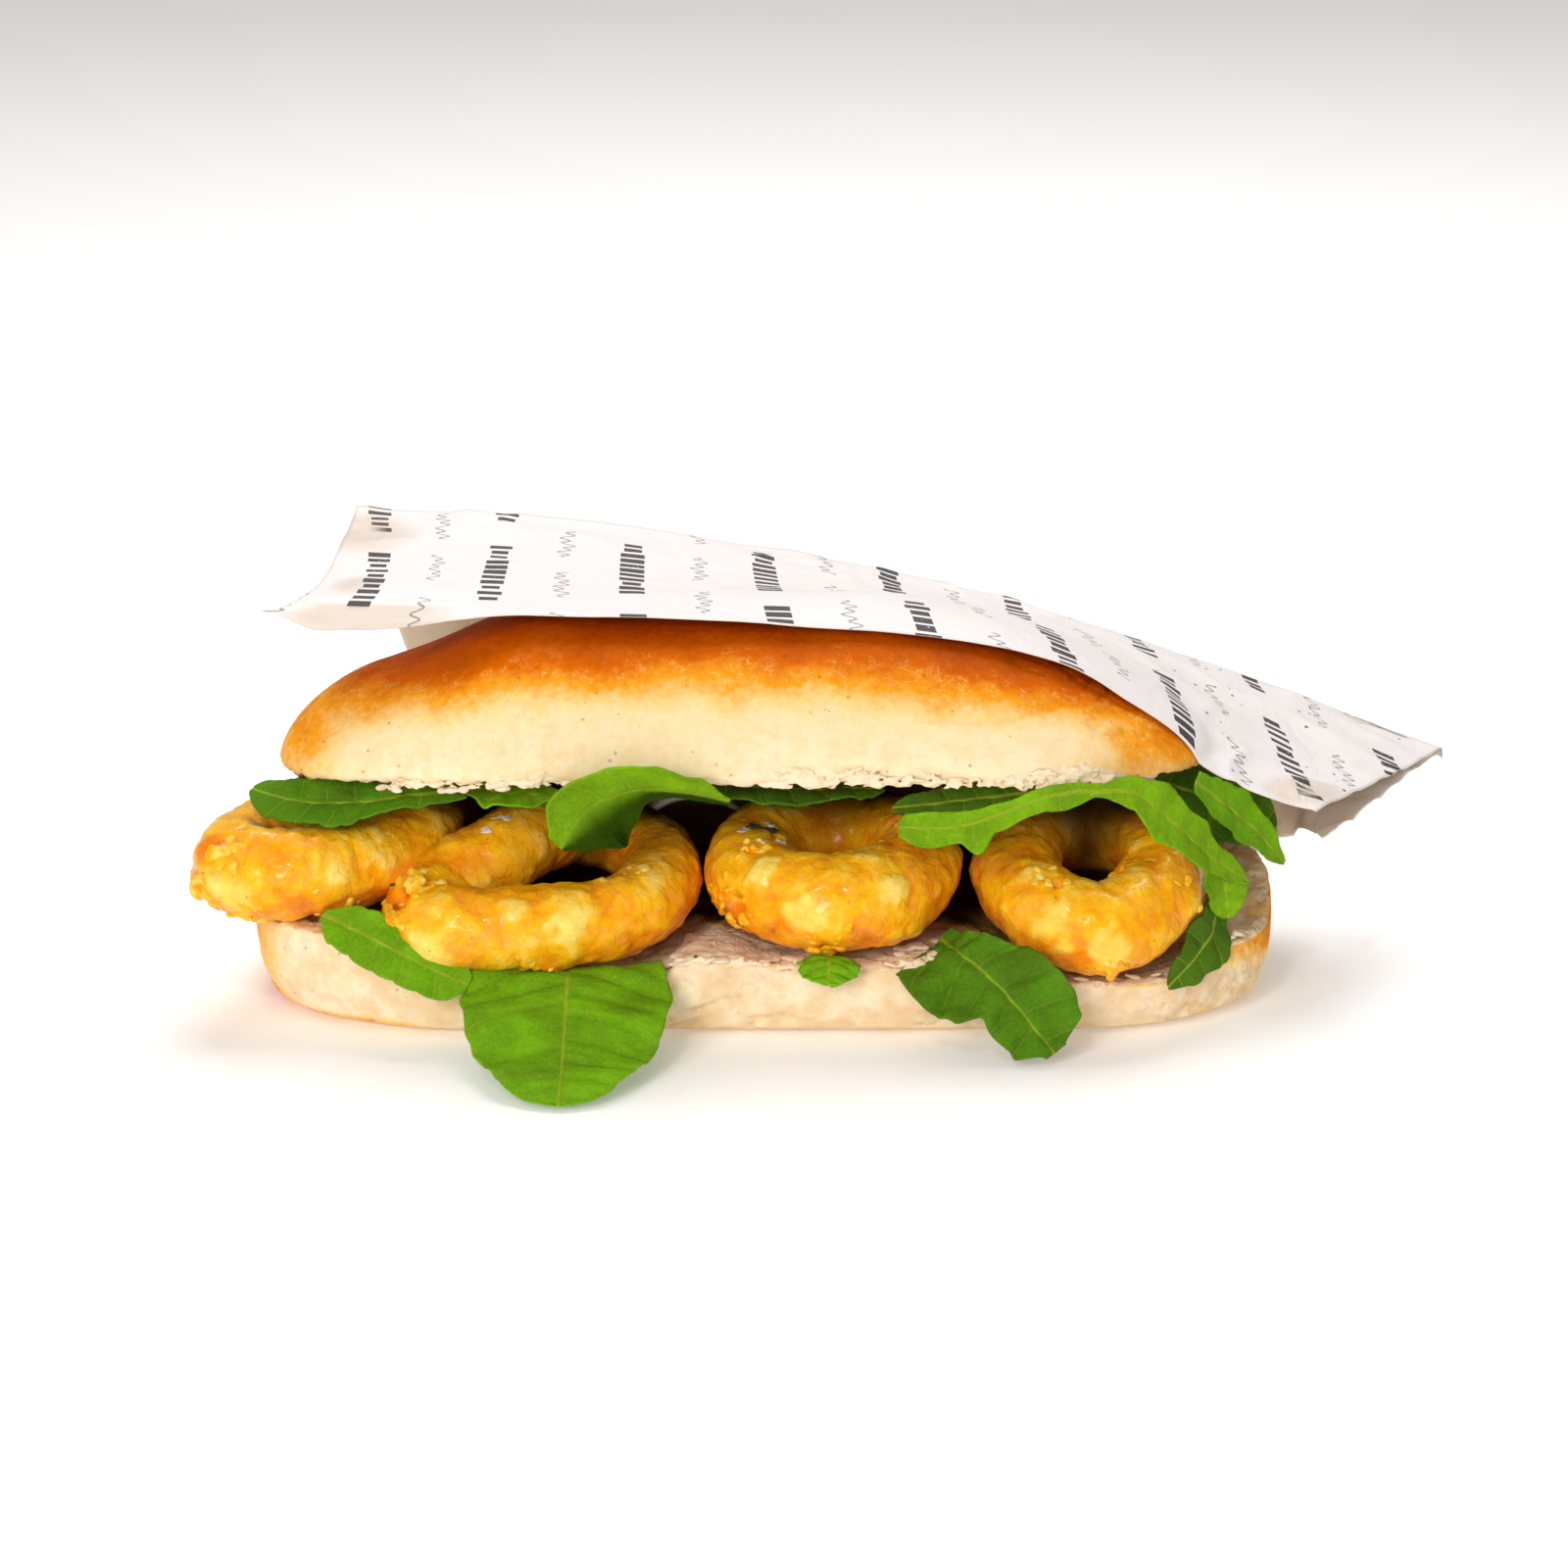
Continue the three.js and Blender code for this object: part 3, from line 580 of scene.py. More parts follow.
def shaped_ball(form, segments, rows, place):
    """Adds a ball to form and moves each vertex to place(turn, polar), both 0 to 1."""
    ball = bmesh.ops.create_uvsphere(form, u_segments=segments, v_segments=rows, radius=1)
    for vertex in ball["verts"]:
        polar = math.acos(max(-1.0, min(1.0, vertex.co.z))) / math.pi
        at_pole = polar < 1e-4 or polar > 1 - 1e-4
        turn = FRONT_MIDDLE if at_pole else math.atan2(vertex.co.y, vertex.co.x) / TURN % 1
        vertex.co = place(turn, polar)


def add_lump(form, radius, stretch, place, normal=(0, 0, 1), spin=0.0):
    """Adds a stretched ball to form, with its third axis along normal."""
    lump = bmesh.ops.create_icosphere(form, subdivisions=2, radius=radius)["verts"]
    bmesh.ops.scale(form, vec=stretch, verts=lump)
    upright = Vector((0, 0, 1)).rotation_difference(Vector(normal)).to_matrix()
    bmesh.ops.rotate(form, cent=(0, 0, 0), verts=lump, matrix=upright @ Matrix.Rotation(spin, 3, "Z"))
    bmesh.ops.translate(form, vec=place, verts=lump)


def soften(form, times, factor=0.5):
    for _ in range(times):
        bmesh.ops.smooth_vert(form, verts=form.verts, factor=factor, use_axis_x=True, use_axis_y=True,
                              use_axis_z=True)


def roughen(form, height, size, octaves, seed):
    """Moves each vertex in or out by about height."""
    form.normal_update()
    for vertex in form.verts:
        vertex.co += vertex.normal * height * uneven(vertex.co, size, octaves, seed)


def smooth_normals(form):
    """Moves nothing; the mesh's own normals are brought up to date and made to point outwards."""
    bmesh.ops.recalc_face_normals(form, faces=form.faces)
    form.normal_update()


def thicken(form, thickness, facing, other_side):
    """Turns a sheet towards facing and gives it a second side, with 1 in the layer other_side."""
    if sum((vertex.normal for vertex in form.verts), Vector()).dot(facing) < 0:
        bmesh.ops.reverse_faces(form, faces=form.faces)
    first_side = len(form.verts)
    bmesh.ops.solidify(form, geom=form.faces[:], thickness=thickness)
    form.verts.ensure_lookup_table()
    for vertex in form.verts[first_side:]:
        vertex[other_side] = 1.0


# -------------------------------------------------------------------------------------------------- roll
STRAIGHT = 45                     # half length of the roll's straight sides
STRAIGHT_PART, END_PART = 10, 16  # shares of the outline that each side and each end take
SIDE_PART = STRAIGHT_PART + END_PART
FRONT_MIDDLE = STRAIGHT_PART / 2 / (2 * SIDE_PART)
LOWER = {"left": 100.5, "right": 100.6, "front": 37.5, "back": 37.5, "square_left": 2.8, "square_right": 2.5}
UPPER = {"left": 95, "right": 88, "front": 34, "back": 37.5, "square_left": 2, "square_right": 2}
RIM, LEFT_RISE, BACK_RISE, RIGHT_RISE, DISH = 16.5, 4, 3.5, 5, 1.2
MOUTH, MOUTH_DROP, END_DROP = 50.2, 17, 5.5
CROWN, CROWN_DROP_LEFT, CROWN_DROP_RIGHT, CROWN_ROUND = 76.5, 8, 14, 0.6
LIP = 2                           # from the upper half's cut face up to its widest outline
PRESSED = [(-68, -20, 3.9), (0, 26, 1.2), (46, 80, 4.6)]  # from x to x under the rings, and how deep
HINGE_THICK, HINGE_BOTTOM, HINGE_TOP = 9.5, 6, 46


def plan(turn, half, along_reach, across_reach):
    """A place on a half's outline, from its front left corner, drawn in to its middle line by the reaches."""
    facet = turn * 2 * SIDE_PART % (2 * SIDE_PART)
    in_front = facet < SIDE_PART
    side = 1 if in_front else -1
    part = facet % SIDE_PART
    if part < STRAIGHT_PART:
        along = blend(-1, 1, part / STRAIGHT_PART) * STRAIGHT * side
        return along, -side * across_reach * half["front" if in_front else "back"]
    angle = (part - STRAIGHT_PART) / END_PART * math.pi - math.pi / 2
    end = half["right" if in_front else "left"] - STRAIGHT
    power = 2 / half["square_right" if in_front else "square_left"]
    across = math.copysign(abs(math.sin(angle)) ** power, angle) * side
    return (side * (STRAIGHT + max(0.0, math.cos(angle)) ** power * end * along_reach),
            across * across_reach * half["front" if across < 0 else "back"])


def floor_height(x, y):
    """Height of the lower half's cut face."""
    pressed = sum(depth * window(x, start - 7, start + 3, end - 3, end + 7) for start, end, depth in PRESSED)
    right_corner = RIGHT_RISE * ease(x, 84, 94) * ease(y, -12, 6)
    return (RIM + LEFT_RISE * ease(-x, 66, 82) + BACK_RISE * ease(y, 2, 30) + right_corner
            - pressed * ease(y, 4, -14))


def roof_height(x, y):
    """Height of the upper half's cut face."""
    return MOUTH - MOUTH_DROP * ease(y, 10, 34) - END_DROP * (abs(x) / 95) ** 4


def upper_reach(x, y):
    """0 on the upper half's middle line, 1 on its outline."""
    end = (UPPER["right"] if x > 0 else UPPER["left"]) - STRAIGHT
    return math.hypot(max(0.0, abs(x) - STRAIGHT) / end, y / (UPPER["front"] if y < 0 else UPPER["back"]))


def crown_height(x):
    return CROWN - CROWN_DROP_LEFT * ease(-x, 40, 75) - CROWN_DROP_RIGHT * ease(x, 15, 95)


def crust_height(x, y, reach):
    edge = roof_height(x, y)
    return edge + (crown_height(x) - edge) * (1 - min(1.0, reach) ** 2) ** CROWN_ROUND


def upper_place(turn, polar):
    reach = math.sin(math.pi * polar)
    x, y = plan(turn, UPPER, reach, reach)
    if polar < 0.5:
        edge = roof_height(x, y) + LIP
        return x, y, edge + (crown_height(x) - edge) * max(0.0, 1 - reach ** 2) ** CROWN_ROUND
    return x, y, roof_height(x, y) + LIP * ease(reach, 0.975, 1)


# From the rim down: how far down, reach along, reach across and share of the wall's height.
LOWER_WALL = [(0.0, (1.0, 1.0, 0.97)), (0.1, (1.003, 1.003, 0.85)), (0.22, (1.0, 1.0, 0.66)),
              (0.36, (0.988, 0.984, 0.38)), (0.5, (0.95, 0.925, 0.13)), (0.62, (0.87, 0.8, 0.0))]


def lower_place(turn, polar):
    if polar < 0.5:
        reach = math.sin(math.pi * polar)
        x, y = plan(turn, LOWER, reach * 0.99, reach * 0.985)
        return x, y, floor_height(x, y) - DISH * (1 - reach ** 4)
    down = (polar - 0.5) * 2
    for (low, first), (high, second) in zip(LOWER_WALL, LOWER_WALL[1:]):
        if down <= high:
            share = (down - low) / (high - low)
            along_reach, across_reach, rise = (blend(a, b, share) for a, b in zip(first, second))
            break
    else:
        inward = (1 - down) / (1 - LOWER_WALL[-1][0])
        along_reach, across_reach, rise = LOWER_WALL[-1][1][0] * inward, LOWER_WALL[-1][1][1] * inward, 0
    x, y = plan(turn, LOWER, along_reach, across_reach)
    return x, y, rise * floor_height(x, y)


def hinge_place(turn, polar):
    """The uncut strip at the back: polar runs along it and turn round its section."""
    along = (1 - math.cos(math.pi * polar)) / 2
    facet = blend(SIDE_PART - 3.5, SIDE_PART + STRAIGHT_PART + 3.5, along) / (2 * SIDE_PART)
    fullness = math.sin(math.pi * polar) ** 0.3
    up = math.sin(TURN * turn)
    out = math.cos(TURN * turn)
    height = (HINGE_BOTTOM + HINGE_TOP) / 2 + up * (HINGE_TOP - HINGE_BOTTOM) / 2 * fullness
    inner = 1 - HINGE_THICK / LOWER["back"]
    middle, half_thick = (1.01 + inner) / 2, (1.01 - inner) / 2
    reach = middle + out * half_thick * fullness * (1 - 0.25 * up * up)
    low = plan(facet, LOWER, reach, reach)
    high = plan(facet, UPPER, reach, reach)
    share = ease(height, 16, 36)
    return blend(low[0], high[0], share), blend(low[1], high[1], share), height


def torn_band(x):
    """How far above the mouth's edge the crust is torn away, along the front."""
    wander = uneven(Vector((x, 0, 0)), 13, 3, 4.2)
    wide = 2.2 * window(x, 40, 56, 66, 76) + 1.6 * window(x, -12, 0, 18, 30)
    return max(0.3, 1.6 + 1.5 * wander + wide) * ease(abs(x + 6), 84, 70)


def crown_surface(place, normal, inner_wall):
    """The upper half's (relief, bake, crumb, toast, flour) at a place."""
    x, y, z = place
    edge = roof_height(x, y)
    torn = torn_band(x) * ease(y, 24, 4)
    crumb = ease(z - edge + 0.5 * uneven(place, 2.2, 2, 9.1), torn + 0.5, torn - 0.3)
    crumb = max(crumb, ease(normal.z, -0.35, -0.7) * ease(y, 30, 20), inner_wall)
    rise = (z - edge) / max(4.0, crown_height(x) - edge)
    ends = max(ease(-x, 66, 92), ease(x, 58, 86))
    wander = 0.05 * uneven(place, 17, 2, 1.3)
    bake = 0.02 + 0.98 * min(1.0, max(0.0, rise + wander + 0.14 * ends)) ** 1.95
    # Browner towards the right under the paper's flap: partly the crust's own browning, partly painted shade
    # of the flap.
    right = x + 3 * uneven(place, 8, 2, 4.4)
    bake = max(bake, (0.38 + 0.16 * ease(rise, 0, 0.4)) * ends,
               0.4 * ease(right, 40, 74) + 0.2 * ease(right, 60, 84) * ease(rise, 0.02, 0.5))
    # Griddle colour of the cut face, plus a large share deep in the mouth that the finish paints as shade.
    toast = 0.2 + 0.4 * ease(normal.z, -0.4, -0.9) + 1.1 * ease(y, -26, -8)
    relief = crumb * settings("roll").tear / MM * (0.8 * uneven(place, 3.4, 4, 2.2) - 0.35)
    # A crease and a sharper fold in the front of the crust.
    in_front = ease(y, -18, -24)
    crease = math.exp(-((z - 62.3 - 0.03 * (x - 47) - 0.5 * math.sin(x / 4)) / 0.75) ** 2)
    relief -= 0.8 * crease * window(x, 26, 36, 56, 66) * in_front
    fold = math.exp(-((z - 53.6 - 0.5 * math.sin(x / 4.5)) / 0.6) ** 2) * window(x, -3, 5, 30, 38)
    relief -= 0.9 * fold * in_front
    return relief, bake + 0.14 * fold * in_front, crumb, toast, 0.0


def base_surface(place, normal, inner_wall):
    """The lower half's (relief, bake, crumb, toast, flour) at a place."""
    x, y, z = place
    down = floor_height(x, y) - z
    crumb = max(ease(normal.z, 0.35, 0.7) * ease(down, 4.5, 2.5) * ease(y, 36, 31), inner_wall)
    ends = max(ease(-x, 88, 99), 0.5 * ease(x, 88, 100))
    corner = ease(z, 5.5, 1.0) * (0.45 + 0.55 * ease(-x, 50, 80))
    rim_toast = max(ease(down, 3.2, 0.6) * ease(x, 50, 74), ease(down, 10, 3) * ease(x, 80, 93))
    wander = 0.06 * uneven(place, 9, 3, 6.3)
    bake = 0.08 + wander + 0.34 * ends + 0.34 * corner + 0.3 * rim_toast + 0.16 * ease(y, 20, 34)
    # Griddle colour of the cut face and right end, plus a large share deep in the mouth that is painted
    # shade.
    toast = (0.3 + 0.3 * uneven(place, 12, 2, 8.8) + 1.1 * ease(y, -21, -5) * ease(abs(x), 88, 72)
             + 0.45 * ease(abs(x), 72, 86))
    relief = crumb * settings("roll").tear / MM * 0.7 * (uneven(place, 3.0, 4, 5.5) - 0.3)
    crack_zone = max(window(x, -22, -15, -2, 8), 0.8 * window(x, 26, 31, 41, 46),
                     0.35 * window(x, 70, 76, 90, 96))
    crack = creased(Vector((x * 0.6, y, z * 1.5)), 6.5, 3, 12.4) ** 3
    relief -= (1.5 * crack * crack_zone + 0.25 * crack) * ease(z, 0.5, 3) * (1 - crumb)
    return relief, bake + 0.18 * crack * crack_zone, crumb, toast, 1.0


def roll_surface(place, normal):
    """How the baked roll departs from its plain form: (outward shift, bake, crumb, toast, flour)."""
    x, y, z = place
    swell = uneven(place, 34, 2, 3.1) * settings("roll").unevenness / MM
    dimple = -0.55 * max(0.0, uneven(place, 8, 2, 7.7) - 0.35)
    inner_wall = ease(y, 6, 14) * ease(normal.y, -0.1, -0.5) * ease(abs(x), 99, 90)
    surface = crown_surface if z > (30 if y < 20 else 27) else base_surface
    relief, bake, crumb, toast, flour = surface(place, normal, inner_wall)
    if z < 1.2:
        swell = dimple = relief = 0.0
    pocks = -0.5 * ease(cells(place, 4.6), 0.16, 0.02) * ease(uneven(place, 21, 2, 15.5), 0.15, 0.5)
    return (swell * ease(z, 0.5, 6) + dimple + relief + pocks * (1 - crumb),
            bake, crumb, max(0.0, toast), flour)


HALF_SEGMENTS, HALF_ROWS, HINGE_SEGMENTS, HINGE_ROWS = 208, 80, 24, 60


def bake_roll():
    form = bmesh.new()
    for half in (upper_place, lower_place):
        shaped_ball(form, HALF_SEGMENTS, HALF_ROWS, half)
    shaped_ball(form, HINGE_SEGMENTS, HINGE_ROWS, hinge_place)
    smooth_normals(form)
    skin = remeshed(form, settings("roll").grain / MM)
    soften(skin, 3)
    skin.normal_update()
    layers = vertex_layers(skin, CRUST_PARTS)
    for vertex in skin.verts:
        shift, *values = roll_surface(vertex.co, vertex.normal)
        for layer, value in zip(layers.values(), values):
            vertex[layer] = value
        vertex.co += vertex.normal * shift
        vertex.co.z = max(0.0, vertex.co.z)
    return finished("roll_bread", skin, crust_finish(), ["roll"])


CRUMBS, CRUMB_VOXEL = 800, 0.3


def tear_edge(material):
    """Soft lumps of torn crumb rolled over the mouth's upper edge, and a few along the lower rim."""
    draw = random.Random(19)
    form = bmesh.new()
    for index in range(CRUMBS):
        on_top = index % 4 != 0
        turn = draw.uniform(-0.06, 0.3) % 1
        if on_top:
            reach = draw.uniform(0.955, 0.99)
            x, y = plan(turn, UPPER, reach, reach)
            wide = torn_band(x)
            if abs(x + 6) > 74 or wide < 1.1 and draw.random() < 0.6:
                continue
            z = roof_height(x, y) + LIP * ease(reach, 0.975, 1) + draw.uniform(-0.12, 0.75) * wide
            size = draw.uniform(0.28, 0.46) + 0.07 * wide
        else:
            reach = draw.uniform(0.93, 0.985)
            x, y = plan(turn, LOWER, reach, reach)
            if not (-20 < x < 8 or 25 < x < 48 or draw.random() < 0.12):
                continue
            z = floor_height(x, y) - 0.3
            size = draw.uniform(0.5, 0.9)
        add_lump(form, size, (draw.uniform(1.2, 3.2), 0.8, draw.uniform(0.5, 0.8)), (x, y, z),
              (draw.uniform(-0.5, 0.5), 0, 1))
    skin = remeshed(form, CRUMB_VOXEL)
    layers = vertex_layers(skin, CRUST_PARTS)
    roughen(skin, 0.35, 2.2, 2, 2.6)
    soften(skin, 2)
    for vertex in skin.verts:
        vertex[layers["crumb"]] = 1.0
        vertex[layers["toast"]] = 0.35 + 0.25 * uneven(vertex.co, 4, 2, 1.2)
    finished("torn_crumb", skin, material)


# ------------------------------------------------------------------------------------------------ squid
# Each ring: its centre line, thickness and, as (share along the ring, factor), how that swells. Patches of
# pale smooth batter, also painted paler as highlights, crisp frayed ends and bites out of it are (place,
# size), and creases are (x, depth).
RINGS = {
    "calamari_1": dict(
        path=[(-101, -22, 29.8), (-90, -24.5, 29.9), (-79, -18, 30), (-68, -7, 30.6),
              (-65, 5, 31.5), (-76, 9, 32), (-89, 0, 31.6), (-99, -9, 30.2)],
        thickness=17.6, swell=[(0, 1.04), (0.12, 1.0), (0.3, 0.98), (0.6, 1), (1, 1.04)], seed=11,
        pools_and_highlights=[((-101, -32, 26), 7), ((-82, -28, 31), 3.6)],
        frays=[((-109, -24, 25), 6), ((-106, -26, 35), 5)],
        creases=[(-89, 0.8), (-73, 0.8)],
        bites=[((-106, -31, 33), 3.2), ((-110, -26, 29), 3)],
    ),
    "calamari_2": dict(
        path=[(-58.5, -33.4, 22.2), (-65, -28, 21.8), (-62, -19, 25), (-52.5, -13.5, 29.6),
              (-45.5, -5.5, 31.6), (-38, 1.5, 31.4), (-28, 1.5, 29), (-21.5, -6, 27.4),
              (-20.3, -17, 25.8), (-25.5, -28.5, 23.6), (-37, -33, 22.4), (-48, -34, 22.3)],
        thickness=16.6, swell=[(0, 1.02), (0.1, 1.04), (0.5, 0.96), (0.8, 0.98), (1, 1.02)], seed=23,
        pools_and_highlights=[((-64, -40, 18), 7.5), ((-36, -41, 25), 5.5), ((-47, -40, 27), 3.5)],
        frays=[((-72, -32, 23), 5), ((-68, -30, 31), 4.5), ((-41, -38, 14.5), 3.5)],
        creases=[(-27.5, 0.9), (-50, 0.5)],
        bites=[((-71.4, -32.6, 28.6), 5.6), ((-66, -35, 33), 2.2)],
    ),
    "calamari_3": dict(
        path=[(13.3, -31.2, 26.2), (2.2, -26.5, 26.8), (-2.3, -15.5, 28.4), (2.4, -4.2, 29.8),
              (13.5, 0, 30.4), (24.6, -4.4, 29.8), (29, -15.5, 28.4), (24.4, -26.6, 26.8)],
        thickness=19, swell=[(0, 1), (0.5, 0.97), (1, 1)], seed=37,
        pools_and_highlights=[((8, -40, 27), 5.5), ((24, -36, 30), 5), ((0, -33, 33), 4)],
        frays=[((-6, -31, 20), 5.5), ((11, -36, 17), 3.5), ((-3, -26, 36), 3)],
        creases=[(17, 0.6), (30, 0.9)],
        bites=[((-6, -32, 26), 3), ((4, -20, 37), 2.5)],
    ),
    "calamari_4": dict(
        path=[(64, -34, 21.8), (53.5, -27.5, 24), (49, -15, 27.2), (52.5, -2.5, 29.2),
              (63.5, 3.5, 30), (74.5, -2, 29.2), (77.6, -14, 27.2), (74, -26.5, 24)],
        thickness=17.2, swell=[(0, 1.03), (0.2, 1.04), (0.5, 0.95), (0.8, 1.04), (1, 1.03)], seed=41,
        pools_and_highlights=[((56, -38, 24), 6), ((66, -42, 20), 6), ((51, -30, 33), 4)],
        frays=[((68, -40, 14), 4.5), ((60, -24, 33), 3.2)],
        creases=[(58, 0.7), (79, 0.8)],
        bites=[((63.5, -26, 33), 3.4), ((56, -34, 31), 1.3)],
    ),
}


def batter_surface(place, outward, ring):
    """Outward shift and (crisp, pool, scorch, deep) of the batter at a place on a ring."""
    fried = settings("calamari")
    seed = ring["seed"]
    lump = uneven(place, 12, 2, seed) + 0.35 * uneven(place, 6, 2, seed + 0.7)
    crag = uneven(place, 2.6, 4, seed + 1.9)
    wrinkle = creased(place, 7, 2, seed + 4.4) ** 2
    pool = near_any(place, ring["pools_and_highlights"], 3.2 * uneven(place, 5, 3, seed))
    fray = near_any(place, ring["frays"])
    bite = near_any(place, ring["bites"], 0.8 * uneven(place, 3, 3, seed), 0.0)
    fold = 0.0
    for at, depth in ring["creases"]:
        away = place.x - at + 0.5 * (place.z - 25) + 2.5 * uneven(place, 7, 2, at)
        fold += depth * math.exp(-(away / 1.8) ** 2)
    rough = 1 - 0.6 * pool
    blister = min(1.0, cells(place + Vector((0.9, 0.4, -0.7)) * lump, 3.6) * 1.6)
    shift = (fried.lump / MM * lump + fried.crag / MM * crag * rough * (1 + 3 * fray)
             + fried.blister / MM * (blister - 0.5) * rough - 0.2 * wrinkle * rough - 0.45 * fold * rough
             - 3.2 * bite + 0.3 * pool + 0.8 * fray * max(0.0, crag) ** 0.5)
    # Lumps are painted paler, and creases, folds and batter that faces down or to the side deeper orange:
    # painted light and shade.
    crisp = (0.36 - 0.22 * lump - 0.08 * crag * rough + 0.42 * fray - 0.2 * pool + 0.14 * wrinkle
             + 0.12 * min(1.0, fold) + 0.16 * bite + 0.2 * ease(outward.z + 0.3 * lump, 0.2, -0.8)
             + 0.12 * ease(abs(outward.x), 0.5, 1.0) - 0.08 * (blister - 0.5))
    scorch = 0.4 * ease(uneven(place, 5, 3, seed + 8.8), 0.8, 1.0) * rough
    # How far into the mouth, where the finish paints the batter near black as shade.
    deep = (ease(place.y, -13, -3) * ease(place.y + 1.2 * (place.z - 30), -17, -6)
            * ease(abs(place.x), 93, 72))
    return shift, crisp, pool, scorch, deep


def fry_ring(name, ring, material):
    fried = settings("calamari")
    steps = fried.steps
    centres = curve(ring["path"], steps, closed=True)
    form = bmesh.new()
    hoop = bmesh.ops.create_circle(form, segments=fried.sides, radius=0.3)["verts"]
    bmesh.ops.rotate(form, cent=(0, 0, 0), matrix=Matrix.Rotation(math.pi / 2, 3, "X"), verts=hoop)
    bmesh.ops.translate(form, vec=(1, 0, 0), verts=hoop)
    bmesh.ops.spin(form, geom=form.verts[:] + form.edges[:], cent=(0, 0, 0), axis=(0, 0, 1), dvec=(0, 0, 0),
                   angle=TURN, steps=steps, use_merge=True)
    layers = vertex_layers(form, BATTER_PARTS)
    for vertex in form.verts:
        x, y, z = vertex.co
        along = math.atan2(y, x) / TURN % 1
        around = math.atan2(z, math.hypot(x, y) - 1)
        centre, ahead = centres[round(along * steps) % steps]
        aside = Vector((0, 0, 1)).cross(ahead).normalized()
        above = ahead.cross(aside)
        radius = ring["thickness"] / 2 * between(ring["swell"], along)
        outward = aside * math.cos(around) + above * math.sin(around)
        place = centre + outward * radius
        shift, *values = batter_surface(place, outward, ring)
        vertex.co = place + outward * shift
        for layer, value in zip(layers.values(), values):
            vertex[layer] = min(1.0, max(0.0, value))
    soften(form, 2, 0.4)
    smooth_normals(form)
    finished(name + "_batter", form, material, [name])


# Crisp crags on each ring: where they gather, how far they spread, how many and how brown.
CRISPS = {
    "calamari_1": [((-109.5, -24, 27), 7, 34, 0.62), ((-104, -30, 36), 4, 14, 0.5),
                   ((-101, -30, 21), 5, 10, 0.6), ((-84, -28, 23), 8, 8, 0.55)],
    "calamari_2": [((-72, -33, 24), 4.5, 22, 0.62), ((-66, -31, 33), 5, 24, 0.5),
                   ((-42, -39, 14), 5, 12, 0.6), ((-28, -30, 33), 6, 8, 0.4)],
    "calamari_3": [((-7, -28, 24), 6, 34, 0.66), ((10, -38, 17), 5, 14, 0.66),
                   ((26, -14, 38), 6, 14, 0.7), ((-3, -26, 35), 4, 10, 0.45)],
    "calamari_4": [((66, -22, 33), 3.5, 16, 0.85), ((66, -42, 15), 4, 10, 0.6),
                   ((55, -32, 31), 4, 8, 0.4), ((79, -26, 28), 5, 8, 0.55)],
}
CRISP_VOXEL, CRISP_SUNK = 0.26, 0.42


def ring_surface(name):
    """The ring's skin, which find_nearest puts things on, in metres."""
    depsgraph = bpy.context.evaluated_depsgraph_get()
    return BVHTree.FromObject(bpy.data.objects[name + "_batter"], depsgraph)


def nearest_on(surface, place):
    """The nearest place on a ring and its outward direction."""
    spot, normal, _, _ = surface.find_nearest(Vector(place) * MM)
    return spot / MM, normal


def fry_crisps(material):
    """Torn crags of crisp batter, all in one mesh."""
    draw = random.Random(31)
    form = bmesh.new()
    browned = []
    for name, heaps in CRISPS.items():
        surface = ring_surface(name)
        for centre, spread, count, brown in heaps:
            for _ in range(count):
                loose = Vector([draw.gauss(0, 0.5) * spread for _ in range(3)])
                spot, normal = nearest_on(surface, Vector(centre) + loose)
                lean = normal + Vector([draw.uniform(-0.5, 0.5) for _ in range(3)])
                size = draw.uniform(0.7, 1.7)
                stretch = draw.uniform(1.0, 1.7), draw.uniform(0.7, 1.1), draw.uniform(0.5, 0.8)
                add_lump(form, size, stretch, spot - normal * CRISP_SUNK * size, lean, draw.uniform(0, TURN))
                browned.append((spot, brown))
    skin = remeshed(form, CRISP_VOXEL)
    crisp = vertex_layers(skin, BATTER_PARTS)["crisp"]
    roughen(skin, 0.5, 2.2, 4, 5.2)
    soften(skin, 3)
    by_place = sorted(browned, key=lambda spot: spot[0].x)
    for vertex in skin.verts:
        near = [brown for spot, brown in by_place if abs(spot.x - vertex.co.x) < 1.2]
        brown = sum(near) / len(near) if near else 0.5
        vertex[crisp] = brown - 0.2 + 0.3 * uneven(vertex.co, 2, 2, 1.1)
    smooth_normals(skin)
    finished("batter_crisps", skin, material)


